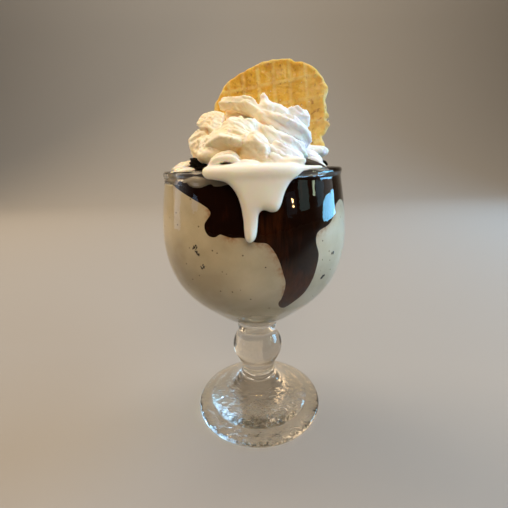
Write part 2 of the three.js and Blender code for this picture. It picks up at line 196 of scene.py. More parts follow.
def noise(points, size, seed):
    """Smooth noise from -1 to 1: random values at the corners of cubes of a size, blended between."""
    table = np.random.default_rng(seed).uniform(-1, 1, VALUES)
    cell = np.asarray(points, float) / size + 100
    corner = np.floor(cell).astype(np.int64)
    part = cell - corner
    part = part**3 * (part * (6 * part - 15) + 10)
    total = np.zeros(cell.shape[:-1])
    for step in np.ndindex(2, 2, 2):
        index = np.bitwise_xor.reduce((corner + step) * SCRAMBLE, axis=-1) % VALUES
        total += table[index] * np.where(np.array(step) == 1, part, 1 - part).prod(axis=-1)
    return total


def wander(length, size, seed, start=0):
    """Noise along a line, by how far along it each place lies."""
    return noise(np.stack([length, length * 0 + start, length * 0], axis=-1), size, seed)


def around(bearing, radius, z):
    """Points at bearings, radii and heights round the goblet's axis."""
    angle = np.radians(bearing)
    return np.stack(np.broadcast_arrays(radius * np.sin(angle), -radius * np.cos(angle), z), axis=-1)


def round_axis(points):
    """The bearings, radii and heights of points round the goblet's axis."""
    x, y, z = points.T
    return np.degrees(np.arctan2(x, -y)), np.hypot(x, y), z


def full_turn(count):
    """Angles once round, evenly spaced, as a row."""
    return np.linspace(0, 2 * np.pi, count, endpoint=False)[None, :]


def unit(vectors):
    """The vectors at length one."""
    return vectors / np.maximum(np.linalg.norm(vectors, axis=-1, keepdims=True), 1e-9)


# --- skins: points, quads and triangles


NO_TRIANGLES = np.zeros((0, 3), int)


def facing_out(points, quads, triangles):
    """The skin with its faces pointing out: a negative enclosed volume turns every face round."""
    corners = np.concatenate([quads[:, :3], quads[:, [0, 2, 3]], triangles])
    a, b, c = (points[corners[:, k]] for k in range(3))
    if np.einsum("ij,ij->i", a, np.cross(b, c)).sum() < 0:
        return points, quads[:, ::-1], triangles[:, ::-1]
    return points, quads, triangles


def closed_skin(grid):
    """A closed skin over rows of rings, with a pole at the middle of the first and of the last ring."""
    rows, columns, _ = grid.shape
    points = np.concatenate([grid.reshape(-1, 3), grid[:1].mean(axis=1), grid[-1:].mean(axis=1)])
    number = np.arange(rows * columns).reshape(rows, columns)
    here, right = number, np.roll(number, -1, axis=1)
    quads = np.stack([here[:-1], right[:-1], right[1:], here[1:]], axis=-1).reshape(-1, 4)
    low, high = np.full(columns, rows * columns), np.full(columns, rows * columns + 1)
    triangles = np.concatenate([
        np.stack([low, right[0], here[0]], axis=1),
        np.stack([high, here[-1], right[-1]], axis=1),
    ])
    return facing_out(points, quads, triangles)


def joined(skins):
    """Several skins as one."""
    starts = np.cumsum([0] + [len(skin[0]) for skin in skins[:-1]])
    faces = (np.concatenate([skin[k] + start for skin, start in zip(skins, starts)]) for k in (1, 2))
    return np.concatenate([skin[0] for skin in skins]), *faces


def outline_distance(x, y, outline):
    """Distance to a closed outline, negative inside, and the nearest point on it.

    Each side of the outline gives the foot of the perpendicular, held between the side's ends.
    A point is inside where a ray towards +x crosses an odd number of sides.
    """
    start = np.asarray(outline, float)
    end = np.roll(start, -1, axis=0)
    along = end - start
    places = np.stack([x.ravel(), y.ravel()], axis=1)
    found = []
    for block in np.array_split(places, max(1, len(places) // 4000)):
        gap = block[:, None, :] - start
        share = np.clip((gap * along).sum(2) / (along**2).sum(1), 0, 1)
        foot = start + share[..., None] * along
        distance = np.linalg.norm(block[:, None, :] - foot, axis=2)
        best = distance.argmin(axis=1)
        pick = np.arange(len(block)), best
        spans = (start[:, 1] > block[:, 1:]) != (end[:, 1] > block[:, 1:])
        rise = np.where(along[:, 1] == 0, 1, along[:, 1])
        crossing = start[:, 0] + (block[:, 1:] - start[:, 1]) * along[:, 0] / rise
        odd = (spans & (block[:, :1] < crossing)).sum(axis=1) % 2 == 1
        found.append(np.column_stack([np.where(odd, -1, 1) * distance[pick], foot[pick]]))
    return [column.reshape(x.shape) for column in np.concatenate(found).T]


def plate(x, y, outline, faces, wrapped=False):
    """A closed plate over the cells of a grid that an outline covers.

    Points of those cells that lie outside move to the nearest point of the outline. faces(x, y,
    depth) gives the plate's two faces, where depth is the distance in from the outline, and a
    wall joins the two faces all along it. A wrapped grid's last column meets its first.
    """
    distance, foot_x, foot_y = outline_distance(x, y, outline)
    inside = covered = distance < 0
    number = np.arange(x.size).reshape(x.shape)
    if wrapped:
        number, covered = (np.column_stack([values, values[:, 0]]) for values in (number, inside))
    cells = covered[:-1, :-1] | covered[1:, :-1] | covered[:-1, 1:] | covered[1:, 1:]
    quads = np.stack([number[:-1, :-1], number[:-1, 1:], number[1:, 1:], number[1:, :-1]], axis=-1)[cells]
    used, quads = np.unique(quads, return_inverse=True)
    quads = quads.reshape(-1, 4)
    settled = [np.where(inside, own, foot).ravel()[used] for own, foot in ((x, foot_x), (y, foot_y))]
    outer, inner = faces(*settled, np.maximum(-distance, 0).ravel()[used])
    count = len(used)
    edges = np.concatenate([quads[:, [k, (k + 1) % 4]] for k in range(4)])
    border = edges[~np.isin(edges[:, 0] * count + edges[:, 1], edges[:, 1] * count + edges[:, 0])]
    walls = np.column_stack([border[:, ::-1], border + count])
    return facing_out(
        np.concatenate([outer, inner]), np.concatenate([quads, quads[:, ::-1] + count, walls]), NO_TRIANGLES
    )


def piped(path, lobes, relief, turn, twist, seed):
    """A rope from a star nozzle: a ring of crests carried along a path of (x, y, z, radius).

    The ring's radius is the path's radius times 1 plus relief times (1 less twice the sine's size
    to the power 0.7), so crests are sharp and valleys wide. The first crest stands at turn degrees
    up from level, away from the pile's middle. The star twists along the path, wanders with noise,
    and ends round.
    """
    line = resampled(spline(path, 12), 0.8)
    centre, radius = line[:, :3], line[:, 3]
    ahead = unit(np.gradient(centre, axis=0))
    away = unit((centre - PILE_MIDDLE) * [0.3, 1, 0])
    side = unit(away - (away * ahead).sum(axis=1, keepdims=True) * ahead)
    up = np.cross(side, ahead)
    up = up * (1 if up[:, 2].mean() > 0 else -1)
    length = run_length(centre)
    end = np.clip(np.minimum(length, length[-1] - length) / radius + 0.02, 0, 1)
    angle = full_turn(144)
    bent = twist * length / 100 + 0.3 * wander(length, 9, seed)
    crest = 1 - 2 * np.abs(np.sin(lobes * (angle - math.radians(turn) + bent[:, None]) / 2)) ** 0.7
    swell = radius * np.sqrt(end * (2 - end)) * (1 + 0.16 * wander(length, 9, seed + 1, 7))
    ring = (swell[:, None] * (1 + relief * crest))[..., None]
    spoke = np.cos(angle)[..., None] * side[:, None] + np.sin(angle)[..., None] * up[:, None]
    return closed_skin(centre[:, None] + ring * spoke)


def draped(top, crest, foot):
    """A fold of cream: a slope from its top out to a sharp crest, a face in to its foot, and a back.

    Each of its rings goes straight between the three lines and two more, 12 mm in. The slope
    bulges and the face is hollow, by half a sine of 0.8 mm.
    """
    top, crest, foot = (evenly(spline(line, 10), 70) for line in (top, crest, foot))
    corners = [top, crest, foot, foot + DRAPE_BACK, top + DRAPE_BACK]
    share = np.linspace(0, 1, 14, endpoint=False)
    sides = []
    for a, b, bulge in zip(corners, corners[1:] + corners[:1], (0.8, -0.8, 0, 0, 0)):
        side = a[:, None] + (b - a)[:, None] * share[:, None]
        sides.append(side - bulge * np.sin(np.pi * share)[:, None] * unit(DRAPE_BACK))
    return closed_skin(np.concatenate(sides, axis=1))


def on_sphere(pole, turn):
    """Points of the unit sphere at angles from its pole and round it."""
    ring = np.sin(pole)
    return np.stack(np.broadcast_arrays(ring * np.cos(turn), ring * np.sin(turn), np.cos(pole)), axis=-1)


def ball(centre, half, tilt=0.0, rough=0.06, seed=0, rings=40, spokes=72, pole=0.03, grain=0.6):
    """A lump: an ellipsoid tilted about Y, its radius changed a little by noise."""
    flat = on_sphere(np.linspace(pole, np.pi - pole, rings)[:, None], full_turn(spokes))
    body = flat * np.array(half) * (1 + rough * noise(flat, grain, seed))[..., None]
    lean = math.radians(tilt)
    x = body[..., 0] * math.cos(lean) + body[..., 2] * math.sin(lean)
    z = body[..., 2] * math.cos(lean) - body[..., 0] * math.sin(lean)
    return closed_skin(np.stack([x, body[..., 1], z], axis=-1) + np.array(centre))


def fill_mesh(mesh, points, quads, triangles):
    """Puts a skin into a mesh, in metres and smooth shaded."""
    corners = np.concatenate([quads.ravel(), triangles.ravel()]).astype(np.int32)
    starts = np.concatenate([4 * np.arange(len(quads)), 4 * len(quads) + 3 * np.arange(len(triangles))])
    mesh.vertices.add(len(points))
    mesh.vertices.foreach_set("co", (points * MM).astype(np.float32).ravel())
    mesh.loops.add(len(corners))
    mesh.loops.foreach_set("vertex_index", corners)
    mesh.polygons.add(len(starts))
    mesh.polygons.foreach_set("loop_start", starts.astype(np.int32))
    mesh.polygons.foreach_set("use_smooth", np.ones(len(starts), bool))
    mesh.update(calc_edges=True)
    mesh.validate()


def fused(skins, voxel):
    """One skin of quads round overlapping skins, on an even grid of the voxel's size."""
    mesh = bpy.data.meshes.new("fused")
    fill_mesh(mesh, *joined(skins))
    holder = bpy.data.objects.new("fused", mesh)
    bpy.context.scene.collection.objects.link(holder)
    remesh = holder.modifiers.new("fuse", "REMESH")
    remesh.mode = "VOXEL"
    remesh.voxel_size = voxel * MM
    graph = bpy.context.evaluated_depsgraph_get()
    made = bpy.data.meshes.new_from_object(holder.evaluated_get(graph))
    points = np.zeros(3 * len(made.vertices), np.float32)
    made.vertices.foreach_get("co", points)
    corners = np.zeros(len(made.loops), np.int32)
    made.loops.foreach_get("vertex_index", corners)
    bpy.data.objects.remove(holder)
    bpy.data.meshes.remove(mesh)
    bpy.data.meshes.remove(made)
    return points.reshape(-1, 3).astype(float) / MM, corners.reshape(-1, 4).astype(int)


def neighbour_mean(points, quads):
    """The mean of each point's neighbours along the edges of the quads."""
    a = np.concatenate([quads[:, k] for k in range(4)])
    b = np.concatenate([quads[:, (k + 1) % 4] for k in range(4)])
    count = np.bincount(a, minlength=len(points))
    sums = [np.bincount(a, weights=points[b, k], minlength=len(points)) for k in range(points.shape[1])]
    return np.stack(sums, axis=1) / count[:, None]


def relaxed(points, quads, weight, rounds):
    """Moves each point towards its neighbours' mean by its weight, and most of the way back.

    The step back keeps the skin from shrinking.
    """
    for _ in range(rounds):
        for step in (0.6, -0.5):
            points = points + step * weight[:, None] * (neighbour_mean(points, quads) - points)
    return points


def filled_valleys(points, quads, weight, rounds):
    """Moves points out towards their neighbours' mean where that lies above them.

    Hollows fill to wide curves and crests stay sharp, as cream does when it is folded.
    """
    for _ in range(rounds):
        normals = point_normals(points, quads)
        rise = ((neighbour_mean(points, quads) - points) * normals).sum(axis=1)
        points = points + (weight * np.maximum(rise, 0))[:, None] * normals
    return points


def point_normals(points, quads):
    """The mean direction of the quads round each point, by the cross product of their diagonals."""
    a, b, c, d = (points[quads[:, k]] for k in range(4))
    across = np.cross(c - a, d - b)
    sums = [
        sum(np.bincount(quads[:, k], weights=across[:, axis], minlength=len(points)) for k in range(4))
        for axis in range(3)
    ]
    return unit(np.stack(sums, axis=1))


# --- finished pieces


def new_piece(name, skin, material, replaced=(), attributes=None):
    """Makes a skin an object that rides with the goblet, with its finish and its point attributes."""
    mesh = bpy.data.meshes.new(name)
    fill_mesh(mesh, *skin)
    for label, values in (attributes or {}).items():
        layer = mesh.attributes.new(label, "FLOAT", "POINT")
        layer.data.foreach_set("value", np.asarray(values, np.float32))
    mesh.materials.append(material)
    piece = bpy.data.objects.new(name, mesh)
    bpy.context.scene.collection.objects.link(piece)
    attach(piece, BODY)
    if replaced:
        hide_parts(*replaced)
    return piece


# A colour mix repeats the names of its inputs, so they go by number: the share, and the two colours.
SHARE, FIRST, SECOND = 0, 6, 7
# The number of a node's main output, where that isn't the first one.
MAIN_OUTPUT = {"ShaderNodeMix": 2, "ShaderNodeAttribute": 2}


def feed(tree, made, inputs):
    """Gives each input of a node its plain value, or a link from a socket or a node's main output."""
    for name, value in inputs.items():
        if isinstance(value, bpy.types.Node):
            value = value.outputs[MAIN_OUTPUT.get(value.bl_idname, 0)]
        if isinstance(value, bpy.types.NodeSocket):
            tree.links.new(value, made.inputs[name])
        else:
            made.inputs[name].default_value = value


def node(tree, kind, inputs=None, stops=(), **settings):
    """Adds a node of a kind, with its own settings, what feeds its inputs, and a colour ramp's stops."""
    made = tree.nodes.new("ShaderNode" + kind)
    for name, value in settings.items():
        setattr(made, name, value)
    feed(tree, made, inputs or {})
    for k, (position, paint) in enumerate(stops):
        made.color_ramp.elements[k].position, made.color_ramp.elements[k].color = position, paint
    return made


def per(size):
    """The noise scale, per metre, of a pattern whose features measure size millimetres."""
    return 1 / (size * MM)


def started(name):
    """A new material, its node tree, its shader and its Object coordinates."""
    material = bpy.data.materials.new(name)
    material.use_nodes = True
    tree = material.node_tree
    return material, tree, tree.nodes["Principled BSDF"], node(tree, "TexCoord").outputs["Object"]


# --- goblet

LIP_CENTRE = (52.15, 170.75)
LIP_RADIUS = 2.25
FOOT_RADIUS = 45.5
WALL_FLOOR = 79.0

BOWL_OUTSIDE = [
    (14.2, 70.5), (19, 73.6), (27.5, 79.8), (35.8, 87), (44.2, 95), (51.2, 105),
    (55.4, 116), (57.2, 126), (57.5, 136), (56.6, 147.5), (55.1, 158.5), (54.0, 165), (53.5, 168.3),
]
BOWL_INSIDE = [
    (0, WALL_FLOOR), (11, 80.2), (21, 84), (30.5, 90.5), (39.5, 99), (46.8, 109), (51.2, 119),
    (53.4, 129), (53.7, 138), (52.8, 148), (51.5, 158), (50.5, 165), (49.9, 170.75),
]
OUTSIDE_CURVE = spline(BOWL_OUTSIDE, 10)
INSIDE_CURVE = spline(BOWL_INSIDE, 10)


def inside_radius(z):
    """Radius of the wall's inside at a height."""
    return np.interp(z, INSIDE_CURVE[:, 1], INSIDE_CURVE[:, 0])


def outside_radius(z):
    """Radius of the wall's outside at a height."""
    return np.interp(z, OUTSIDE_CURVE[:, 1], OUTSIDE_CURVE[:, 0])


def curve_between(points, steps=12):
    """A Bezier curve over two, three or four points, without its first point."""
    share = np.linspace(0, 1, steps + 1)[1:, None]
    layers = [np.asarray(p, float) for p in points]
    while len(layers) > 1:
        layers = [(1 - share) * a + share * b for a, b in zip(layers, layers[1:])]
    return layers[0]


def arc(centre, radius, start, end, steps=12):
    """Points round a circle from one angle to another, in degrees."""
    angle = np.radians(np.linspace(start, end, steps))
    return np.stack([centre[0] + radius * np.cos(angle), centre[1] + radius * np.sin(angle)], axis=1)


def foot_and_stem():
    """Half section of the foot, its step and dome, the ringed neck, the ball knop and the collar."""
    return np.concatenate([
        [(0.4, 0), (FOOT_RADIUS - 1.8, 0)],
        arc((FOOT_RADIUS - 2.2, 2.4), 2.2, -60, 70),
        [(40.5, 6.1), (37.2, 7.4), (36.4, 6.7)],
        curve_between([(36.4, 6.7), (34.5, 10.8), (28, 13.4)]),
        curve_between([(28, 13.4), (18.5, 17.2), (13.8, 24.6)]),
        [(12.5, 25.4), (12.7, 28.4), (11.6, 29.4), (12.1, 34)],
        curve_between([(12.1, 34), (13.5, 40), (17.6, 42.5), (17.7, 49.5)]),
        curve_between([(17.7, 49.5), (17.7, 55), (14.6, 58), (13, 62)]),
        [(13.8, 66)],
    ])


def goblet_skin(sides):
    """The goblet turned from its half section, whose corners are rounded by averaging."""
    section = np.concatenate([
        foot_and_stem(), OUTSIDE_CURVE, arc(LIP_CENTRE, LIP_RADIUS, 0, 180, 16), INSIDE_CURVE[-2:0:-1],
    ])
    section = resampled(section, 0.9)
    for _ in range(2):
        section[1:-1] = (section[:-2] + 2 * section[1:-1] + section[2:]) / 4
    bearing = np.linspace(0, 360, sides, endpoint=False)
    return closed_skin(around(bearing[None, :], section[:, :1], section[:, 1:]))


def pressed_glass(settings):
    """Soda-lime glass, pressed in a mould and fire polished: clear, with soft waves in its gloss.

    The underside of the foot is stippled, which mottles what shows through the foot.
    """
    material, tree, shader, place = started("pressed_soda_lime_glass")
    waves = node(tree, "TexNoise", {"Vector": place, "Scale": per(16), "Detail": 3})
    wavy = node(tree, "Bump", {"Height": waves, "Distance": settings.waviness * 6, "Strength": 1})
    pits = node(tree, "TexNoise", {"Vector": place, "Scale": per(4.5), "Detail": 3})
    high = node(tree, "SeparateXYZ", {"Vector": place}).outputs["Z"]
    under = node(tree, "MapRange", {
        "Value": high, "From Min": 0.3 * MM, "From Max": 1.2 * MM, "To Min": 1, "To Max": 0,
    })
    stippled = node(tree, "Bump", {"Height": pits, "Normal": wavy, "Distance": 0.7 * MM, "Strength": under})
    thin = node(tree, "MapRange", {"Value": high, "From Min": 62 * MM, "From Max": 84 * MM})
    tone = node(tree, "Mix", {SHARE: thin, FIRST: settings.deep_tint, SECOND: settings.tint},
                data_type="RGBA")
    feed(tree, shader, {
        "Base Color": tone, "Normal": stippled, "Roughness": 0, "IOR": 1.52, "Transmission Weight": 1,
    })
    shadow = node(tree, "LightPath").outputs["Is Shadow Ray"]
    clear = node(tree, "BsdfTransparent", {"Color": linear("#F4F3EE")})
    lit = node(tree, "MixShader", {0: shadow, 1: shader, 2: clear})
    feed(tree, tree.nodes["Material Output"], {"Surface": lit})
    return material


class SUNDAE_OT_goblet(bpy.types.Operator):
    """Makes the goblet with its foot, stem, bowl and lip"""

    bl_idname = "sundae.goblet"
    bl_label = "Goblet"

    def execute(self, context):
        settings = context.scene.sundae_goblet
        new_piece("goblet", goblet_skin(settings.sides), pressed_glass(settings), ["glass"])
        return {"FINISHED"}


# --- ice cream

FILL_EDGE = 163.5
FILL_RISE = 13.0
FILL_POWER = 5
FILL_WALL_TOP = 166.0
MOUND_RADIUS = 46.0

# Small dark cookie crumbs pressed against the wall: bearing, height and reach of each cluster.
CRUMB_CLUSTERS = [
    (-33.9, 135, 2.6), (-31.7, 131, 1.6), (-29.9, 124.7, 1.5), (51.1, 127.1, 1.3), (45.7, 114.7, 1.1),
    (-118, 118, 2), (150, 128, 1.8), (104, 110, 1.6),
]


def mound_height(bearing, radius):
    """Height of the ice cream's mound: flat in the middle and falling to the wall by a fifth power.

    It is lower at the front, where the cream has melted over it.
    """
    melted = 5.2 * np.exp(-((bearing / 34) ** 4) - ((radius - 36) / 11) ** 4)
    return FILL_EDGE + FILL_RISE * (1 - (radius / inside_radius(FILL_EDGE)) ** FILL_POWER) - melted


def ice_cream_skin(reach):
    """The filling: the wall's inside curve, a little into the glass, closed by the mound."""
    wall = np.column_stack([INSIDE_CURVE[1:, 0] + reach, INSIDE_CURVE[1:, 1] - reach])
    wall = resampled(wall[wall[:, 1] < FILL_WALL_TOP], 1.3)
    radii = np.linspace(MOUND_RADIUS + 2, 2, 24)[:, None]
    bearing = np.linspace(-180, 180, 240, endpoint=False)[None, :]
    rings = [around(bearing, wall[:, :1], wall[:, 1:]), around(bearing, radii, mound_height(bearing, radii))]
    return closed_skin(np.concatenate(rings))


def vanilla_ice_cream(settings):
    """Vanilla ice cream, churned and half melted: soft mottling and dark specks of vanilla seed."""
    material, tree, shader, place = started("churned_vanilla_ice_cream")
    clouds = node(tree, "TexNoise", {"Vector": place, "Scale": per(26), "Detail": 4})
    base = node(tree, "ValToRGB", {"Fac": clouds}, [(0.35, settings.vanilla_shade), (0.65, settings.vanilla)])
    cells = node(tree, "TexVoronoi", {"Vector": place, "Scale": per(4.2), "Randomness": 1})
    seeds = node(tree, "MapRange", {
        "Value": cells, "From Min": 0.07, "From Max": 0.115, "To Min": 1, "To Max": 0,
    })
    chosen = node(tree, "SeparateColor", {"Color": cells.outputs["Color"]}).outputs["Red"]
    some = node(tree, "Math", {0: chosen, 1: 0.7}, operation="LESS_THAN")
    specks = node(tree, "Math", {0: seeds, 1: some}, operation="MULTIPLY")
    rough = node(tree, "TexNoise", {"Vector": place, "Scale": per(1.6), "Detail": 3})
    patchy = node(tree, "MapRange", {"Value": rough, "From Min": 0.38, "From Max": 0.62, "To Min": 0.4})
    edge = node(tree, "Attribute", attribute_name="stain")
    soaked = node(tree, "Math", {0: edge, 1: patchy}, operation="MULTIPLY")
    tone = base
    for share, paint in ((specks, linear("#3B2C1C")), (soaked, settings.stain)):
        tone = node(tree, "Mix", {SHARE: share, FIRST: tone, SECOND: paint}, data_type="RGBA")
    feed(tree, shader, {
        "Base Color": tone, "Roughness": 0.55, "IOR": 1.4, "Specular IOR Level": 0.1,
        "Subsurface Weight": 0.25, "Subsurface Radius": (1.0, 0.7, 0.4), "Subsurface Scale": 2 * MM,
    })
    return material


def cookie_crumb():
    """Baked cocoa cookie, crushed: nearly black and matt."""
    material, tree, shader, place = started("baked_cocoa_crumb")
    grain = node(tree, "TexNoise", {"Vector": place, "Scale": per(0.5), "Detail": 2})
    tone = node(tree, "ValToRGB", {"Fac": grain}, [(0.3, linear("#060504")), (0.7, linear("#171310"))])
    feed(tree, shader, {"Base Color": tone, "Roughness": 0.8, "Specular IOR Level": 0.2})
    return material


# Heaps of crumbs beside the cream: middle and half sizes.
CRUMB_HEAPS = [
    ((-28.6, -28, 175.9), (3.9, 2.8, 3.4)), ((-25, -30, 175.6), (3, 2.4, 2.8)),
    ((-31.8, -24, 178), (1.9, 1.8, 1.5)), ((-22.8, -30, 176.8), (1.3, 1.2, 1.5)),
    ((-25.6, -32, 173.9), (2.6, 1.8, 1.6)), ((-31, -26, 175.2), (2.6, 2.4, 2.2)),
    ((41.6, 3, 178.3), (1.7, 2, 4)), ((42.4, 0, 173.8), (3.8, 4, 2.4)), ((32.4, -14, 175.9), (2, 1.8, 1.2)),
    ((35.9, -20, 173.4), (1.8, 1.6, 1)),
]


def heap_skin():
    """Heaps of crumbs stuck together with fudge: lumps with a ragged skin."""
    return joined([ball(*heap, rough=0.75, seed=90 + k) for k, heap in enumerate(CRUMB_HEAPS)])


def crumbs_skin(seed):
    """Crumbs as small uneven balls, scattered round each cluster and sunk in from the wall."""
    draw = np.random.default_rng(seed)
    skins = []
    for bearing, height, spread in CRUMB_CLUSTERS:
        for _ in range(9):
            z = height + draw.normal(0, 0.5) * spread
            turn = bearing + np.degrees(draw.normal(0, 0.42) * spread / inside_radius(z))
            size = draw.uniform(0.4, 1.1)
            middle = around(turn, inside_radius(z) - 0.55 * size, z)
            skins.append(small_grain(middle, size * draw.uniform(0.6, 1.3, 3), int(draw.integers(1000))))
    return joined(skins)


def small_grain(centre, half, seed):
    """A grain: a lump of few faces, its radius changed a lot by noise."""
    return ball(centre, half, rough=0.35, seed=seed, rings=5, spokes=8, pole=0.35, grain=0.8)


class SUNDAE_OT_ice_cream(bpy.types.Operator):
    """Makes the ice cream that fills the bowl, and the cookie crumbs in it"""

    bl_idname = "sundae.ice_cream"
    bl_label = "Ice cream"

    def execute(self, context):
        settings = context.scene.sundae_filling
        skin = ice_cream_skin(settings.reach / MM)
        bearing, _, z = round_axis(skin[0])
        gap, _, _ = outline_distance(bearing * WALL_ARC, z, fudge_outline())
        stain = np.exp(-np.abs(gap) / STAIN_REACH) * stain_share(bearing, z)
        new_piece("ice_cream_fill", skin, vanilla_ice_cream(settings), ["ice_cream"],
                  {"stain": stain})
        crumbs = joined([crumbs_skin(11), heap_skin()])
        new_piece("cookie_crumbs", crumbs, cookie_crumb())
        return {"FINISHED"}


# --- hot fudge

# Millimetres of wall for each degree of bearing, at the bowl's widest.
WALL_ARC = math.radians(53.0)
FUDGE_TOP = 2.8
FUDGE_LOWEST = 92.0
# Millimetres from the edge of the fudge in which the stain fades to about a third.
STAIN_REACH = 2.2

# The lower edge of the fudge on the wall, as bearing and height, once round from the back.
FUDGE_EDGE = [
    (-180, 140.5), (-173, 143), (-167, 132), (-162, 123.5), (-157.5, 121.2), (-153, 127), (-147, 141),
    (-137, 148), (-127, 143), (-117, 139.3), (-109, 141), (-98, 149), (-86, 158), (-74, 164.5), (-64, 167),
    (-58.1, 166.7), (-51, 164.4), (-43, 161.8), (-34.8, 159), (-28, 156.4), (-24.2, 154.2), (-23.4, 152),
    (-25.2, 149.8), (-27, 147.2), (-26.8, 144.4), (-25.2, 142), (-22.9, 141), (-20.3, 141.2),
    (-18.4, 142.5), (-17, 142.3), (-11.8, 141), (-5.9, 141), (0, 138.7), (5.7, 138), (8.8, 135.1),
    (11.6, 130.6), (13.7, 125.4), (15.4, 120.7), (17, 116.5), (17.3, 112), (16.5, 106), (15.2, 103.8),
    (16.1, 101.3), (19, 99.3), (22.4, 99.1), (27.1, 102), (33.1, 107), (35.8, 113.6), (37, 122.2),
    (37.2, 128.8), (35, 134.6), (34.9, 138.4), (37.2, 141.2), (45.4, 143.2), (50.4, 146.5), (52.6, 150.8),
    (57, 153.4), (63.6, 154.6), (71, 151), (79, 141), (86, 134.8), (92, 133.2), (98, 137), (105, 146.5),
    (112, 147.5), (118, 136), (122, 121), (126, 113.2), (130.5, 113.6), (134.5, 122), (139, 138),
    (147, 147), (156, 148.4), (164, 146.1), (172, 143.2), (180, 140.5),
]
# Where the ice cream beside the fudge is stained: bearing, height and reach of each place.
STAINED = [
    (4.5, 138, 9), (10, 132, 7), (14, 124, 6), (17, 112, 5), (40, 142, 7), (51, 149, 6), (-12, 141, 5),
    (-24, 153, 4), (126, 116, 9), (-158, 124, 9), (92, 136, 8), (-115, 142, 9),
]


def fudge_outline():
    """The closed outline of the fudge on the unrolled wall: its edge, and a line far above."""
    edge = spline(FUDGE_EDGE, 4)
    before = edge[edge[:, 0] > 150][:-1] - [360, 0]
    after = edge[edge[:, 0] < -150][1:] + [360, 0]
    whole = np.concatenate([before, edge, after, [(after[-1, 0], 500), (before[0, 0], 500)]])
    return whole * [WALL_ARC, 1]


def stain_share(bearing, z):
    """How stained the ice cream is near its listed places, by a bell over each."""
    share = np.zeros(np.shape(z))
    for at, height, reach in STAINED:
        share = np.maximum(share, np.exp(-(((bearing - at) * WALL_ARC) ** 2 + (z - height) ** 2) / reach**2))
    return share


def fudge_rim(bearing):
    """Height where the fudge meets the wall above: low at the left, nearly at the lip on the right."""
    right = smoothstep(16, 26, bearing) * (2.9 + 2.6 * smoothstep(44, 52, bearing))
    right = right * (1 - 0.55 * smoothstep(96, 120, bearing))
    return 165.4 + right + 0.5 * wander(bearing / 14, 1, 5)


def fudge_cap(bearing, radius):
    """Height of the fudge over the mound, with a lump beside the cream and soft unevenness."""
    right = bell((bearing, 78, 16), (radius, 43, 5))
    uneven = noise(around(bearing, radius, radius * 0), 11, 21)
    return mound_height(bearing, radius) + FUDGE_TOP + 1.2 * right + 0.7 * uneven


# Rows of the fudge's grid are counted in millimetres up from the rim: the shoulder takes the first
# of them, and a row of the cap stands as far below the crown as its radius.
SHOULDER = 9
CROWN = 60
# How far the fudge reaches into the glass.
FUDGE_REACH = 0.15


def fudge_skin(wall_thickness):
    """A cap over the mound that turns down the wall as far as its outline.

    Rows go out over the cap, round a shoulder by a quadratic curve, and down the wall.
    """
    bearing = np.linspace(-180, 180, 400, endpoint=False)[None, :]
    radii = np.linspace(0.0, MOUND_RADIUS, 30)[:-1, None]
    rim = fudge_rim(bearing)
    bend = np.linspace(0, 1, 9)[:-1, None]
    drop = np.linspace(0, 1, 104)[:, None]
    wall_z = rim + drop * (FUDGE_LOWEST - rim)
    height = np.concatenate([rim + CROWN - radii, rim + SHOULDER * (1 - bend), wall_z])
    across = np.broadcast_to(bearing * WALL_ARC, height.shape)

    def faces(x, y, depth):
        turn = x / WALL_ARC
        edge = fudge_rim(turn)
        radius = np.clip(edge + CROWN - y, 0, MOUND_RADIUS)
        share = np.clip(1 - (y - edge) / SHOULDER, 0, 1)
        top = fudge_cap(turn, np.full_like(turn, MOUND_RADIUS))
        wall = inside_radius(edge) + FUDGE_REACH
        parts = (1 - share) ** 2, 2 * share * (1 - share), share**2
        round_r = parts[0] * MOUND_RADIUS + parts[1] * (wall - 0.4) + parts[2] * wall
        round_z = parts[0] * top + parts[1] * np.maximum(top - 1, edge + 1) + parts[2] * edge
        where = [y > edge + SHOULDER + 0.001, y <= edge]
        outer_r = np.select(where, [radius, inside_radius(y) + FUDGE_REACH], round_r)
        outer_z = np.select(where, [fudge_cap(turn, radius), y], round_z)
        inner_r = np.select(where, [radius, inside_radius(y) - wall_thickness],
                            round_r - share * wall_thickness)
        inner_z = np.select(where, [mound_height(turn, radius) - 0.3, y],
                            round_z - FUDGE_TOP * (1 - share) - 0.3)
        return around(turn, outer_r, outer_z), around(turn, inner_r, inner_z)

    return plate(across, height, fudge_outline(), faces, wrapped=True)


def hot_fudge(settings):
    """Hot fudge sauce, poured: nearly black where thick, brown where it thins, and wet."""
    material, tree, shader, place = started("poured_hot_fudge")
    stretch = node(tree, "Mapping", {"Vector": place, "Scale": (1.0, 1.0, 0.12)})
    streaks = node(tree, "TexNoise", {"Vector": stretch, "Scale": per(2.2), "Detail": 3})
    uneven = node(tree, "MapRange", {
        "Value": streaks, "From Min": 0.38, "From Max": 0.68, "To Min": -0.3, "To Max": 0.14,
    })
    thin, open_air = (node(tree, "Attribute", attribute_name=name) for name in ("thin", "open_air"))
    amount = node(tree, "Math", {0: thin, 1: uneven}, operation="ADD", use_clamp=True)
    dimples = node(tree, "TexNoise", {"Vector": place, "Scale": per(7), "Detail": 2})
    feed(tree, shader, {
        "Base Color": node(tree, "Mix", {SHARE: amount, FIRST: settings.fudge, SECOND: settings.fudge_thin},
                           data_type="RGBA"),
        "Normal": node(tree, "Bump", {"Height": dimples, "Distance": 1 * MM, "Strength": 0.5}),
        "Specular IOR Level": node(tree, "MapRange", {"Value": open_air, "To Max": 0.25}),
        "Roughness": 0.4, "IOR": 1.48,
    })
    return material


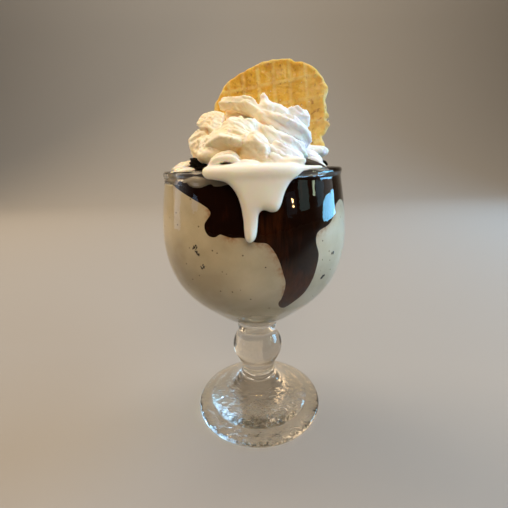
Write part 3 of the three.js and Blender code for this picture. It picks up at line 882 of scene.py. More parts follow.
class SUNDAE_OT_hot_fudge(bpy.types.Operator):
    """Makes the hot fudge over the ice cream and its runs down the wall"""

    bl_idname = "sundae.hot_fudge"
    bl_label = "Hot fudge"

    def execute(self, context):
        settings = context.scene.sundae_filling
        skin = fudge_skin(settings.fudge_wall / MM)
        bearing, radius, z = round_axis(skin[0])
        thin = 0.7 * (1 - smoothstep(112, 128, z)) + 0.4 * bell((bearing, 9, 9))
        open_air = 1 - smoothstep(-1.2, -0.2, radius - inside_radius(z))
        new_piece("hot_fudge_cap", skin, hot_fudge(settings), ["hot_fudge"],
                  {"thin": thin, "open_air": open_air})
        return {"FINISHED"}


# --- whipped cream

PILE_MIDDLE = np.array([0.0, 8.0, 190.0])
# Ropes of piped cream: crests, relief, turn and twist, then each rope's way as (x, y, z, radius).
ROPES = [
    (6, 0.14, 70, 1, [(-17, 3, 210.6, 3.9), (-12.5, -1, 209.8, 4.4), (-7.7, -3, 209.3, 4.6),
     (-3.1, -4, 208.5, 4.4), (0.4, -6, 206.5, 3.9), (4.2, -9, 203.2, 3.6), (8.7, -11, 200.2, 3.2)]),
    (6, 0.12, 30, 2, [(-15, 7, 205.5, 6), (-6.5, 6, 204, 6), (3, 5, 202, 6), (12, 4, 201.5, 6),
     (21, 3, 200, 6)]),
    (3, 0.12, 80, 0, [(9, -6, 205.7, 3.4), (13, -6, 204.9, 3.5), (17, -7, 203.2, 3.2), (20.9, -8, 201, 3)]),
    (5, 0.16, 70, 1, [(18.5, -5, 201.6, 3.6), (23.1, -4, 202.7, 3.6), (27.3, -3, 202.7, 3.8),
     (30.6, -3, 201.6, 3.6), (32.1, -3, 199.2, 3.2), (30.4, -3, 195.5, 3.4)]),
    (5, 0.12, 40, 1.5, [(-33.1, -2, 181, 3.2), (-29.5, -8, 180.6, 4), (-25, -14, 179.4, 4.2)]),
    (4, 0.05, 45, 0, [(-20.4, -45, 173.4, 1.8), (-18.8, -46, 176.1, 1.7), (-15.9, -47, 177.9, 1.7),
     (-12.4, -47.5, 178.5, 1.7), (-9.4, -48, 177.8, 1.7), (-7.4, -48, 175.9, 1.8),
     (-6.5, -48.5, 173, 1.9)]),
    (4, 0.05, 45, 0, [(-20.6, -41.5, 173.4, 2), (-19, -42.5, 176.3, 2), (-15.9, -43.5, 178.4, 2),
     (-12.4, -44, 179, 2), (-9.2, -44.5, 178.3, 2), (-7.1, -44.5, 176, 2), (-6.2, -45, 173, 2)]),
    (4, 0.05, 45, 0, [(-20.6, -38.5, 173.6, 2.2), (-19, -39.5, 176.6, 2.2), (-15.9, -40.5, 178.8, 2.2),
     (-12.4, -41, 179.4, 2.2), (-9.2, -41.5, 178.6, 2.2), (-7.1, -41.5, 176, 2.2), (-6.2, -42, 173, 2.2)]),
    (7, 0.17, 55, 2, [(4.2, -10, 203.1, 3.6), (8.7, -11, 199.7, 4.8), (13.6, -13, 196.7, 5.6),
     (18.6, -14, 194.3, 6), (24.5, -12, 191.7, 6), (29.5, -9, 188, 5), (31.2, -6, 184.3, 4.4)]),
    (7, 0.17, 55, 2, [(6, -20, 193, 4.6), (10.1, -23, 189.1, 5.6), (14.7, -25, 185.7, 6),
     (19.7, -24, 183.1, 6), (25.1, -20, 180.5, 5), (28.6, -16, 177.9, 4)]),
    (6, 0.15, 55, 2, [(8.3, -35, 182.9, 4.6), (12.1, -37.5, 180.2, 5.2), (16.7, -37, 178.2, 5),
     (21.7, -33, 176.2, 4.6), (26.2, -28, 174, 3.8)]),
    (5, 0.12, 55, 2, [(7.8, -42, 177.1, 3.4), (10.3, -43.5, 175.9, 3.8), (14.6, -43.5, 174.4, 3.8),
     (19.8, -40.5, 173.2, 3.4)]),
    (7, 0.16, 0, 2, [(30, -2, 196, 5), (29.5, 6, 195, 6.5), (24, 12, 194, 7), (12, 13, 196, 7.5),
     (-6, 13, 198, 7.5), (-20, 10, 199, 7), (-27, 1, 199, 5)]),
    (7, 0.16, 0, -2, [(30, -2, 184, 6), (28, 8, 184, 7), (20, 13, 185, 8), (8, 14, 187, 8.5),
     (-12, 13, 188, 9), (-25, 10, 188, 8), (-32, 1, 187, 5)]),
    (5, 0.12, 60, 1.5, [(10.1, -6, 202, 6.2), (8.9, -5.2, 206.4, 4.7), (8.3, -4.4, 209, 3),
     (7.9, -3.4, 211.2, 1.6), (7.6, -2.7, 214.8, 0.4)]),
]
# Folds: the ways of the top, the crest and the foot of each.
FOLDS = [
    ([(-30.7, -12, 187.9), (-26.7, -18.5, 189.5), (-21.8, -25, 191), (-16.4, -30, 193.6),
      (-12.1, -31, 197.1), (-9, -32, 197.3), (-6.4, -32, 197), (-3.4, -31, 196.8), (-0.4, -27.5, 197.5),
      (2.2, -23, 197.8)],
     [(-28.3, -24, 183), (-23.3, -33, 185.8), (-18.8, -39, 187.4), (-14.5, -43, 188.6),
      (-10.6, -44.5, 187.7), (-7.3, -44.5, 186.6), (-5, -43, 185.8), (-2.1, -38, 188.6), (0.5, -32, 191.9),
      (3.3, -23, 196.8)],
     [(-30, -16, 179.5), (-24.9, -23, 178.1), (-20.5, -29, 177.2), (-15.8, -33.5, 176.7),
      (-11.6, -35.5, 176.7), (-8.2, -36, 177.2), (-4.4, -35.5, 180.2), (0.2, -32.5, 184),
      (3.9, -28.5, 187.7), (6.5, -21.5, 193.8)]),
    ([(-3.6, -37, 188.3), (-0.6, -35, 189.7), (2.5, -33, 191.3), (5.9, -33, 188.8), (8.9, -35, 185.2),
      (10.2, -36.5, 181.7), (10.5, -39, 177.8), (10.3, -42, 174.5)],
     [(-5.3, -43, 185.6), (-2.1, -44, 185.2), (0.9, -44, 186), (3.1, -44.5, 184.7), (4.9, -45.5, 182.9),
      (5.8, -46, 181), (6, -46.5, 177.8), (6.1, -47, 174.6)],
     [(-6.4, -38.5, 179.9), (-4.9, -41, 176.9), (-2.5, -42.5, 176.3), (-0.5, -43.5, 176.3),
      (0.9, -44.5, 175.7), (2.4, -45.5, 174.7), (3.7, -47, 173.8), (5, -48.5, 173.3)]),
    ([(-30.8, -1, 202.7), (-28.4, -2, 204.7), (-25.5, -3, 205.3), (-21.7, -5, 205.9), (-18.6, -8, 205.1),
      (-15, -11, 203.5)],
     [(-31.1, -6, 199.1), (-28.6, -10, 196.6), (-25.2, -14, 196.1), (-22.7, -17, 194.4),
      (-20.4, -19, 192.3), (-17.5, -20, 192.2)],
     [(-30.7, -4, 197.9), (-28.4, -8, 195.5), (-25.8, -11, 194.6), (-23.2, -14, 193.2), (-20.8, -16, 191.3),
      (-17.9, -17, 191.4)]),
    ([(-32.8, -3, 195.9), (-29.7, -7, 196.2), (-26.3, -11, 195.4), (-23.1, -14, 193.7), (-19.6, -17, 190.9)],
     [(-37.7, -3, 190.4), (-36.5, -8, 186.1), (-33.6, -14, 183), (-29.2, -20, 182.4), (-24.3, -26, 184.8)],
     [(-36.6, -1, 186.5), (-35.4, -5, 182.3), (-33.2, -10, 179.8), (-29.8, -15, 178.8), (-24.8, -21, 180.4)]),
]
DRAPE_BACK = np.array([0.0, 11.0, -5.0])
# The open middle of the small roll above the sheet, which smoothing leaves open.
EYE = np.array([-13.4, -42.0, 176.0])
# Lumps of cream: centre, half sizes and tilt about Y.
LUMPS = [
    ((0, -3, 186), (28, 20, 14), 0), ((-6.5, -11, 192.5), (10, 8, 8), 20),
    ((-12, -18, 182), (14, 9, 6.5), 0), ((2, -28, 180), (7, 9, 8), 0),
    ((-41.5, -4, 174), (8, 18, 3.4), -12), ((-36.5, -25, 172.6), (8, 10, 2), -6),
    ((-14, -30, 180), (15, 8, 6), 0), ((-13, -36.5, 175.5), (6, 4, 3.4), 0),
    ((7, -44, 173.6), (9, 5.5, 2.8), 0), ((18, -44.5, 176), (8.5, 4, 2.1), -3),
    ((-1, -47, 175.6), (5, 3.2, 1.6), 6), ((9.5, -6, 205), (6, 5, 4.2), 0), ((-22, 0, 192), (9, 12, 9), 0),
    ((40.5, 8, 182), (8, 8, 3.8), 0), ((36, -2, 177.5), (8.5, 7, 4.5), 30),
    ((38, -13, 174.6), (6.5, 4.5, 2.6), 28),
]

# Sharp crests that folding leaves: height, width on the left of the way and on its right as seen
# from the front, droop, then the way as (x, y, z). The first runs along the first fold.
CRESTS = [
    (0.7, 3, 0.8, 0.9, FOLDS[0][1][:7]),
    (0.9, 1, 4, 0, [(-15.4, -12, 204.4), (-13.1, -13, 203.6), (-10.9, -14, 201.4)]),
    (0.9, 1, 3, 0.3, [(-31.1, -6, 199.1), (-28.6, -10, 196.6), (-25.2, -14, 196.1), (-22.7, -17, 194.4),
     (-20.4, -19, 192.3), (-17.5, -21, 191.6)]),
    (1, 2, 1.2, 0.2, [(-1.4, -36.5, 189.7), (-5, -43, 186.7), (-9.1, -44, 187.3)]),
    (1.3, 2.2, 2.2, 0.2, [(8.5, -14, 200.8), (14, -16, 199.1), (17.7, -17, 198.1), (21.6, -17, 196.5),
     (25.6, -16, 194.4), (29.4, -13, 192), (34.4, -8, 189.3)]),
    (1.5, 3.2, 1.2, 0.3, [(3.3, -21, 197), (6.4, -24, 194.1), (10, -26, 191.8), (13, -28, 189.5),
     (14.9, -30, 186.4), (18, -30, 183.3)]),
    (1.3, 2.8, 1.1, 0.3, [(15, -28, 188.5), (21.6, -26, 187.5), (26.6, -21, 185.7), (28.9, -17, 183.7)]),
    (0.9, 1.6, 1.2, 0, [(2.5, -14, 202.5), (5.8, -14, 202.4), (9, -16, 199.5)]),
    (0.8, 1.2, 1.2, 0, [(10.2, -30, 187.5), (11.6, -31, 184.9), (13, -33, 182.3)]),
    (1.2, 4.5, 1.6, 0, [(-21.1, -17, 194.1), (-20.8, -15, 197.4), (-20, -12, 201.4), (-19, -9, 205)]),
    (1.2, 2.2, 1.2, 0.3, [(-36.8, -5, 190), (-31.9, -10, 192), (-27.1, -13, 193.4)]),
    (1.2, 2.2, 1.2, 0.3, [(-35.8, -8, 186.2), (-30.7, -13, 188.7), (-25.3, -17, 190)]),
    (0.9, 2.5, 0.9, 0.3, [(-30.2, -6, 201.9), (-28.3, -7, 199.4), (-25.5, -9, 199.6), (-21.7, -12, 199.4)]),
]
SIGHT = np.array([0.0, math.cos(math.radians(16)), -math.sin(math.radians(16))])

# The melted sheet on the unrolled lip: bearing, and millimetres out and down from the lip's top.
SHEET_EDGE = [
    (-26.5, -1), (-26.3, 2.2), (-23.8, 4.9), (-20, 5.5), (-16.5, 6.3), (-13.8, 7.2), (-11.6, 8.6),
    (-9.8, 10.4), (-8.4, 12.4), (-7.2, 15), (-6.1, 19), (-5.5, 23), (-5.2, 27), (-5, 31), (-4.4, 34),
    (-2.6, 35.5), (-0.6, 34.6), (0.7, 32.5), (1.6, 28.5), (2, 24.5), (2.6, 21.6), (4.3, 20.3), (6.3, 20.6),
    (8.4, 21.4), (10.6, 21.3), (12.3, 20), (13.6, 17.8), (14.7, 14.8), (16.1, 11.7), (18, 9), (20.1, 7),
    (23, 4.9), (26, 3.2), (31, 2.4), (36, 2.2), (40, 1.8), (41.5, 0.6), (39, -0.8), (34, -2.4), (30.5, -6),
    (29.5, -14), (29, -26), (0, -30), (-38, -26), (-36, -14), (-31, -6),
]
# Half section that the sheet lies on: over the mound, round the lip and down the outside.
SHEET_ROOT = [(20, 176.5), (27, 175), (35, 173.5), (42, 172.6), (48, 172.6)]
SHEET_LOW = 134.0
RIM_ARC = math.radians(55.5)

# The cream against the inside of the wall: bearing and height of its edge.
BAND_EDGE = [
    (-104, 169.6), (-96, 168.2), (-86, 167.3), (-76, 167.1), (-66, 166.9), (-56, 166.4), (-51, 165.3),
    (-46.5, 164.7), (-43.2, 165.2), (-41.6, 166.4), (-40.6, 167.4), (-39.6, 166.2), (-37, 165.2),
    (-31, 164.7), (-27, 165.3), (-23.5, 166.4), (-20.5, 165.2), (-17, 165.5), (-14, 166.2), (-11.5, 165.1),
    (-8, 165.6), (-3, 166.2), (3, 166.4), (12, 167), (19, 168), (24, 168.9), (30, 168.8), (38, 169.2),
    (43, 169.6), (43, 169.9), (-104, 169.9),
]


def sheet_section():
    """The sheet's half section at an even spacing, and its length at the lip's top."""
    arc_out = arc(LIP_CENTRE, LIP_RADIUS, 115, 0, 16)
    z = np.linspace(LIP_CENTRE[1] - 1, SHEET_LOW, 40)
    down = np.column_stack([np.maximum(outside_radius(z), np.interp(z, [168.3, 170.75], [53.5, 54.4])), z])
    line = resampled(np.concatenate([SHEET_ROOT, arc_out, down]), 0.5)
    length = run_length(line)
    crown = length[np.argmin(np.hypot(line[:, 0] - LIP_CENTRE[0], line[:, 1] - LIP_CENTRE[1] - LIP_RADIUS))]
    ahead = unit(np.gradient(line, axis=0))
    out = np.column_stack([-ahead[:, 1], ahead[:, 0]])
    return line, length - crown, out


def sheet_skin(thickness):
    """The melted sheet: a plate on the unrolled section, rounded like a drop along its edge.

    It is thicker at the end of the long drip and in the pool of the short one, and thinner at the
    right, over the lip's crown and under the open middle of the small roll.
    """
    line, length, out = sheet_section()
    bearing, place = np.meshgrid(np.arange(-46, 48, 0.5), np.arange(-31, 38, 0.5))
    outline = spline(SHEET_EDGE + SHEET_EDGE[:1], 5)[:-1] * [RIM_ARC, 1]

    def faces(x, y, depth):
        foot, lift = (np.stack([np.interp(y, length, way[:, k]) for k in range(2)], axis=-1)
                      for way in (line, out))
        turn = x / RIM_ARC
        drop = bell((turn, -2.2, 3), (y, 32.5, 5))
        pool = bell((turn, 8.5, 5), (y, 17.5, 5.5))
        spread = smoothstep(17, 30, turn) * (y > -14)
        crown = bell((y, 0, 5)) * (0.32 + 0.16 * smoothstep(8, 18, -turn))
        full = thickness * (1 + 0.35 * drop + 0.18 * pool) * (1 - 0.62 * spread) * (1 - crown)
        full = full - 3.4 * bell((turn, -16, 5), (y, -8, 2.8))
        edge = np.clip(depth / 3.6, 0, 1)
        heights = 0.25 + full * np.sqrt(edge * (2 - edge)), -0.35 - 2.5 * smoothstep(4, 9, -y)
        places = (foot + unit(lift) * height[:, None] for height in heights)
        return [around(turn, place[:, 0], place[:, 1]) for place in places]

    return plate(bearing * RIM_ARC, place, outline, faces)


def band_skin():
    """Cream pressed against the inside of the wall below the lip: a plate with a scalloped edge."""
    bearing, z = np.meshgrid(np.arange(-108, 47, 0.5), np.arange(163, 171.2, 0.4))
    outline = spline(BAND_EDGE + BAND_EDGE[:1], 4)[:-1] * [WALL_ARC, 1]

    def faces(x, y, depth):
        turn = x / WALL_ARC
        wall = inside_radius(y)
        thick = 1.2 + 3.4 * smoothstep(0, 3, depth)
        return around(turn, wall + 0.5, y), around(turn, wall - thick, y)

    return plate(bearing * WALL_ARC, z, outline, faces)


def ripple(points, melt):
    """How far cream stands proud: soft swells, sharp folds that run down the pile, and tiny tears.

    A fold is 1 less twice the size of a noise, so that it is sharp along its crest.
    """
    slant = points @ np.array([[0.62, 0.1, 0.5], [0.2, 0.8, 0.0], [0.5, 0.0, 1.15]])
    bent = slant + 1.6 * np.stack([noise(points, 7, 41 + k) for k in range(3)], axis=1)
    swell = 0.4 * noise(points, 9, 31)
    right = 0.55 + 0.45 * smoothstep(-12, 10, points[:, 0])
    folds = 0.8 * (1 - 2 * np.abs(noise(bent, 6, 32))) + 0.8 * (1 - 2 * np.abs(noise(bent, 2.8, 33)))
    patch = smoothstep(-0.15, 0.35, noise(points, 9, 34))
    tears = 0.45 * (1 - 2 * np.abs(noise(bent, 1.5, 35))) * (0.25 + 0.75 * patch)
    dry = swell + right * folds * (0.4 + 0.6 * patch) + tears
    inner = 1 - smoothstep(50, 53, np.hypot(points[:, 0], points[:, 1]))
    return dry * (1 - melt) + (0.12 + 0.6 * inner) * noise(points, 7, 36) * melt


def folded(points, normals):
    """Moves points out to the listed crests.

    Distance from a crest's way is measured square to a line of sight that falls 16 degrees. A crest
    rises with the square of 1 less the distance over its width, has its own width on either side
    and a hollow under it, fades at both ends, and droops.
    """
    moved = points.copy()
    for height, left_width, right_width, droop, way in CRESTS:
        line = resampled(spline(way, 8), 0.7)
        ahead = unit(np.gradient(line, axis=0))
        left = unit(np.cross(SIGHT, ahead))
        near = np.flatnonzero(((points > line.min(axis=0) - 8) & (points < line.max(axis=0) + 8)).all(axis=1))
        gap = points[near, None] - line[None]
        deep = gap @ SIGHT
        flat = gap - deep[..., None] * SIGHT
        distance = np.linalg.norm(flat, axis=2)
        best = distance.argmin(axis=1)
        pick = np.arange(len(near)), best
        on_left = (flat[pick] * left[best]).sum(axis=1) > 0
        far = np.sqrt(distance[pick] ** 2 + 0.09)
        width = np.where(on_left, left_width, right_width)
        rise = np.clip(1 - far / width, 0, 1) ** 2
        hollow = bell((far, 2.2 * width, 1.1 * width)) * (width < 2)
        fade = np.clip(np.minimum(best, len(line) - 1 - best) / 4, 0, 1)
        seen = (1 - smoothstep(5, 8, np.abs(deep[pick]))) * (normals[near] @ SIGHT < 0.35)
        amount = height * (rise - 0.35 * hollow) * fade * seen
        moved[near] += amount[:, None] * unit(normals[near] - [0, 0, droop])
    return moved


def cream_skin(settings):
    """Ropes, lumps, sheet and band fused to one skin, smoothed where it has melted, then folded."""
    skins = [piped(path, lobes, relief, turn, twist, 40 + k)
             for k, (lobes, relief, turn, twist, path) in enumerate(ROPES)]
    skins += [draped(*fold) for fold in FOLDS]
    skins += [ball(*lump, seed=60 + k) for k, lump in enumerate(LUMPS)]
    skins += [sheet_skin(settings.sheet / MM), band_skin()]
    points, quads = fused(skins, settings.voxel / MM)
    radius = np.hypot(points[:, 0], points[:, 1])
    melt = 1 - smoothstep(173.5, 178, points[:, 2] + 1.6 * noise(points, 12, 30))
    melt = np.maximum(melt, smoothstep(46.5, 49.5, radius))
    kept = 1 - 0.9 * np.exp(-(np.linalg.norm((points - EYE) / [8, 7, 4], axis=1) ** 2))
    points = relaxed(points, quads, (0.15 + 0.85 * melt) * kept, 4)
    points = relaxed(points, quads, melt * kept, 10)
    points = filled_valleys(points, quads, (0.8 - 0.2 * melt) * kept, 4)
    for _ in range(4):
        melt = neighbour_mean(melt[:, None], quads)[:, 0]
    points = folded(points, point_normals(points, quads))
    normals = point_normals(points, quads)
    points = points + normals * ripple(points, melt)[:, None]
    points = filled_valleys(points, quads, 0.7 * (1 - melt) * kept, 2)
    points = relaxed(points, quads, 0.6 * melt, 1)
    radius = np.hypot(points[:, 0], points[:, 1])
    # Cream pressed to the glass below the lip gets the film colour: partly a thin film, partly painted shade
    # under the lip.
    behind = smoothstep(-3.0, -1.2, radius - inside_radius(points[:, 2])) * (radius < 51.5)
    film_and_shade = behind * (1 - smoothstep(170.2, 171.0, points[:, 2]))
    return (points, quads, NO_TRIANGLES), melt, hollowness(points, quads), film_and_shade


def hollowness(points, quads):
    """How deep a point lies in a fold: its normal's part of the way to the mean of a wide circle."""
    mean = points
    for _ in range(14):
        mean = neighbour_mean(mean, quads)
    # This depth sets where painted shade goes into the cream's hollows.
    depth = ((mean - points) * point_normals(points, quads)).sum(axis=1)
    return smoothstep(0.0, 0.7, depth)


def whipped_cream(settings):
    """Dairy cream, whipped and piped: soft ivory, light passing into it, wet where it has melted."""
    material, tree, shader, place = started("whipped_dairy_cream")
    clouds = node(tree, "TexNoise", {"Vector": place, "Scale": per(9), "Detail": 3})
    tone = node(tree, "ValToRGB", {"Fac": clouds}, [(0.3, settings.butter), (0.6, settings.ivory)])
    hollow, melt, film_and_shade = (node(tree, "Attribute", attribute_name=name) for name in ("hollow", "melt", "film_and_shade"))
    # Painted light: the cream turns a cool pale grey towards the right, standing for the cool window light on
    # that side.
    right = node(tree, "SeparateXYZ", {"Vector": place}).outputs["X"]
    cool = node(tree, "MapRange", {"Value": right, "From Min": -4 * MM, "From Max": 24 * MM, "To Max": 0.85},
                interpolation_type="SMOOTHSTEP")
    # The fold colour is painted shade in the hollows.
    for share, paint in ((hollow, settings.fold), (cool, linear("#F2F5F6")), (melt, linear("#FCF4E4")),
                         (film_and_shade, settings.film_and_shade)):
        tone = node(tree, "Mix", {SHARE: share, FIRST: tone, SECOND: paint}, data_type="RGBA")
    foam = node(tree, "TexNoise", {"Vector": place, "Scale": per(2.6), "Detail": 5, "Roughness": 0.62},
                noise_type="RIDGED_MULTIFRACTAL")
    dry = node(tree, "MapRange", {"Value": melt, "To Min": 0.8, "To Max": 0})
    feed(tree, shader, {
        "Base Color": tone,
        "Roughness": node(tree, "MapRange", {"Value": melt, "To Min": 0.42, "To Max": 0.16}),
        "Normal": node(tree, "Bump", {"Height": foam, "Distance": 0.6 * MM, "Strength": dry}),
        "IOR": 1.4, "Subsurface Weight": 0.55, "Subsurface Radius": (1.0, 0.66, 0.38),
        "Subsurface Scale": 1.4 * MM,
    })
    return material


class SUNDAE_OT_whipped_cream(bpy.types.Operator):
    """Makes the whipped cream pile, the melted sheet over the lip and the cream inside it"""

    bl_idname = "sundae.whipped_cream"
    bl_label = "Whipped cream"

    def execute(self, context):
        settings = context.scene.sundae_cream
        skin, melt, hollow, film_and_shade = cream_skin(settings)
        new_piece("whipped_cream_pile", skin, whipped_cream(settings), ["whipped_cream"],
                  {"melt": melt, "hollow": hollow, "film_and_shade": film_and_shade})
        return {"FINISHED"}


# --- waffle

WAFFLE_CORE = 4.2
RIB_WIDTH = 1.9
# The raised grid's cells across and along, and how far it is moved, as a share of a cell.
CELL = (10.4, 13.8)
RIB_SHIFT = (0.25, 0.1)
WAFFLE_CENTRE = (16.0, 24.0, 197.5)
WAFFLE_LEAN, WAFFLE_YAW, GRID_TURN = 10.0, -12.0, 6.0
# The waffle's edge about its middle: bearing and radius, cut nearly straight on the right.
WAFFLE_MIDDLE = (-2.0, 5.3)
WAFFLE_EDGE = [
    (-180, 42), (-165, 41.8), (-150, 41.4), (-135, 41.2), (-120, 41), (-105, 41), (-90, 41), (-75, 41.3),
    (-60, 42.2), (-48, 42.5), (-39, 42.5), (-36, 42.2), (-33, 41.2), (-29, 40.6), (-26, 39.7), (-22, 36.9),
    (-19, 35.7), (-15, 36.8), (-9, 37.8), (-6, 38.8), (-3, 37.3), (-1, 35.9), (2, 37.6), (8, 36.6),
    (14, 36.7), (18, 36.9), (22, 38.8), (25, 40.4), (30, 41.4), (38, 41.6), (45, 42.2), (55, 42.1),
    (61, 41.4), (67, 40.1), (73, 40.6), (81, 39.9), (90, 39.4), (100, 39), (111, 38.3), (120, 38.7),
    (128, 39.7), (136, 40.9), (144, 41.9), (151, 41.3), (160, 42.4), (170, 42.2),
]


def waffle_outline():
    """The waffle's edge: the listed radii, with small crisp waves from the irons."""
    line = spline(WAFFLE_EDGE + [(180, 42.0)], 6)[:-1]
    angle = np.radians(line[:, 0])
    radius = line[:, 1] + 0.12 * np.sin(41 * angle) + 0.15 * np.sin(29 * angle + 1)
    return np.column_stack([radius * np.cos(angle), radius * np.sin(angle)]) + WAFFLE_MIDDLE


def rib_share(x, y):
    """1 on the crest of the raised grid, falling to 0 beside it."""
    turn = math.radians(GRID_TURN)
    ways = x * math.cos(turn) + y * math.sin(turn), y * math.cos(turn) - x * math.sin(turn)
    gaps = [np.abs((way / cell - shift + 0.5) % 1 - 0.5) * cell
            for way, cell, shift in zip(ways, CELL, RIB_SHIFT)]
    return 1 - smoothstep(RIB_WIDTH * 0.25, RIB_WIDTH * 0.95, np.minimum(*gaps))


def waffle_warp(x, y):
    """How far the baked waffle has warped from flat: soft waves both ways."""
    return 0.9 * np.sin(x / 17 + 1) * np.cos(y / 21)


def waffle_skin(rib_height):
    """Two faces over the waffle's outline: half the core, plus ribs, bubbles and a round edge."""
    x, y = np.meshgrid(np.arange(-46, 41, 0.5), np.arange(-38, 50, 0.5))

    def face(x, y, depth, side):
        flat = np.stack([x, y, x * 0 + 9 * side], axis=-1)
        edge = np.clip(depth / 1.8, 0, 1)
        ribs = rib_height * rib_share(x, y) * (0.8 + 0.35 * noise(flat, 7, 81))
        blister = 0.45 * noise(flat, 5.5, 82) + 0.2 * noise(flat, 2.3, 83)
        pits = -0.7 * smoothstep(0.35, 0.75, noise(flat, 2.8, 84))
        border = 0.7 * bell((depth, 2.2, 1.5))
        half = (WAFFLE_CORE / 2 + border + blister + pits + ribs) * np.sqrt(edge * (2 - edge)) + 0.15
        return np.stack([x, y, waffle_warp(x, y) + side * half], axis=-1)

    def faces(x, y, depth):
        return face(x, y, depth, 1), face(x, y, depth, -1)

    return plate(x, y, waffle_outline(), faces)


def standing_waffle(points):
    """Flat-built points, face up, moved to where the waffle stands."""
    place = (Matrix.Translation(WAFFLE_CENTRE) @ Matrix.Rotation(math.radians(WAFFLE_YAW), 4, "Z")
             @ Matrix.Rotation(math.radians(90 - WAFFLE_LEAN), 4, "X"))
    turn = np.array(place)
    return points @ turn[:3, :3].T + turn[:3, 3]


def baked_wafer(settings):
    """Waffle wafer, baked on irons: golden sugar dough, browned in spots, with a syrupy shine."""
    material, tree, shader, place = started("iron_baked_wafer")
    broad = node(tree, "TexNoise", {"Vector": place, "Scale": per(13), "Detail": 4})
    small = node(tree, "TexNoise", {"Vector": place, "Scale": per(3.2), "Detail": 2})
    rib = node(tree, "Attribute", attribute_name="rib")
    warm = node(tree, "MapRange", {"Value": broad, "From Min": 0.45, "From Max": 0.72, "To Max": 0.75})
    # Painted light: the wafer turns paler towards its right, where light falls on it and glows through it.
    right = node(tree, "SeparateXYZ", {"Vector": place}).outputs["X"]
    painted_glow = node(tree, "MapRange", {"Value": right, "From Min": 26 * MM, "From Max": 48 * MM, "To Max": 0.45},
                 interpolation_type="SMOOTHSTEP")
    spots = node(tree, "MapRange", {"Value": small, "From Min": 0.6, "From Max": 0.76, "To Max": 0.7})
    tone = settings.golden
    for share, paint in ((rib, settings.pale), (warm, linear("#D39A34")), (painted_glow, linear("#F0D286")),
                         (spots, settings.caramel)):
        tone = node(tree, "Mix", {SHARE: share, FIRST: tone, SECOND: paint}, data_type="RGBA")
    crumbly = node(tree, "TexNoise", {"Vector": place, "Scale": per(1.1), "Detail": 4})
    bump = node(tree, "Bump", {"Height": crumbly, "Distance": 0.5 * MM, "Strength": 0.6})
    dents = node(tree, "Bump", {"Height": small, "Normal": bump, "Distance": 1.4 * MM, "Strength": 0.8})
    feed(tree, shader, {
        "Base Color": tone, "Normal": dents,
        "Roughness": 0.42, "IOR": 1.45, "Coat Weight": 0.5, "Coat Roughness": 0.2,
        "Subsurface Weight": 0.5, "Subsurface Radius": (1.0, 0.6, 0.2), "Subsurface Scale": 3.5 * MM,
    })
    return material


def sugar_crystal():
    """Coarse sugar, crystallised: small clear grains that glint."""
    material, tree, shader, place = started("coarse_sugar_crystal")
    cloud = node(tree, "TexNoise", {"Vector": place, "Scale": per(0.6)})
    tone = node(tree, "ValToRGB", {"Fac": cloud}, [(0.3, linear("#FFE9C0")), (0.7, linear("#FFFFFF"))])
    feed(tree, shader, {"Base Color": tone, "Roughness": 0.12, "IOR": 1.54, "Coat Weight": 0.5})
    return material


def sugar_skin(seed):
    """Sugar grains scattered over both faces of the waffle, half sunk in it."""
    draw = np.random.default_rng(seed)
    skins = []
    for side in (1, -1):
        for _ in range(40):
            reach, turn = 36 * math.sqrt(draw.uniform(0.02, 1)), draw.uniform(0, 2 * math.pi)
            x, y = reach * math.cos(turn), reach * math.sin(turn)
            size = draw.uniform(0.25, 0.5)
            high = WAFFLE_CORE / 2 + 0.2 + 1.1 * rib_share(x, y)
            middle = np.array([x, y, waffle_warp(x, y) + side * high])
            skins.append(small_grain(middle, size * draw.uniform(0.6, 1.2, 3), int(draw.integers(1000))))
    points, quads, triangles = joined(skins)
    return standing_waffle(points), quads, triangles


class SUNDAE_OT_waffle(bpy.types.Operator):
    """Makes the waffle that stands in the cream, and the sugar on it"""

    bl_idname = "sundae.waffle"
    bl_label = "Waffle"

    def execute(self, context):
        settings = context.scene.sundae_waffle
        points, quads, triangles = waffle_skin(settings.rib_height / MM)
        rib = rib_share(points[:, 0], points[:, 1])
        new_piece("baked_waffle", (standing_waffle(points), quads, triangles), baked_wafer(settings),
                  ["waffle"], {"rib": rib})
        new_piece("sugar_grains", sugar_skin(17), sugar_crystal())
        return {"FINISHED"}


# --- stage

CAMERA_PLACE = (-0.6, -199.8, 174.5)
CAMERA_PITCH = 16.0
CAMERA_ROLL = -1.77
CAMERA_LENS = 21.8
SENSOR = 36.0
# What the lights face, in metres.
TARGET = (0.0, 0.0, 0.17)
LAMP_RADIUS, LAMP_POWER = 0.007, 0.3
# Small bright cards that the glass mirrors: place and size in metres, power in watts, colour.
CARDS = [
    ("low_window", (1.38, 0.27, 0.165), (0.62, 0.18), 4.2, "#7CC8F6"),
    ("doorway", (1.40, -0.32, 0.42), (0.1, 0.18), 0.45, "#D8E8C8"),
    ("far_room", (1.22, -0.66, 0.40), (0.34, 0.26), 0.45, "#7F9A96"),
    ("far_wall", (0.97, -1.0, 0.36), (0.3, 0.2), 0.14, "#5C6E78"),
    ("counter", (1.40, -0.08, 0.36), (0.3, 0.2), 0.2, "#6FA0B8"),
    ("left_window", (-1.40, 0.31, 0.15), (0.3, 0.4), 0.3, "#BBD8FF"),
    ("left_picture", (-1.35, -0.45, 0.33), (0.2, 0.16), 0.14, "#A9C4E8"),
]
# Soft lights that show only in the gloss of the food that stands in the open, as the cards are given.
SHEEN = [
    ("overhead_sheen", (-1.25, 0.75, 1.45), (0.8, 0.8), 10.0, "#FFF0DC"),
    ("window_sheen", (1.3, 0.35, 0.95), (0.7, 0.5), 8.0, "#C8E4FF"),
    ("front_sheen", (-0.45, -1.5, 1.5), (0.5, 0.5), 4.0, "#FFF4E4"),
]
GLOSSY_FOOD = ["whipped_cream_pile", "baked_waffle", "sugar_grains"]
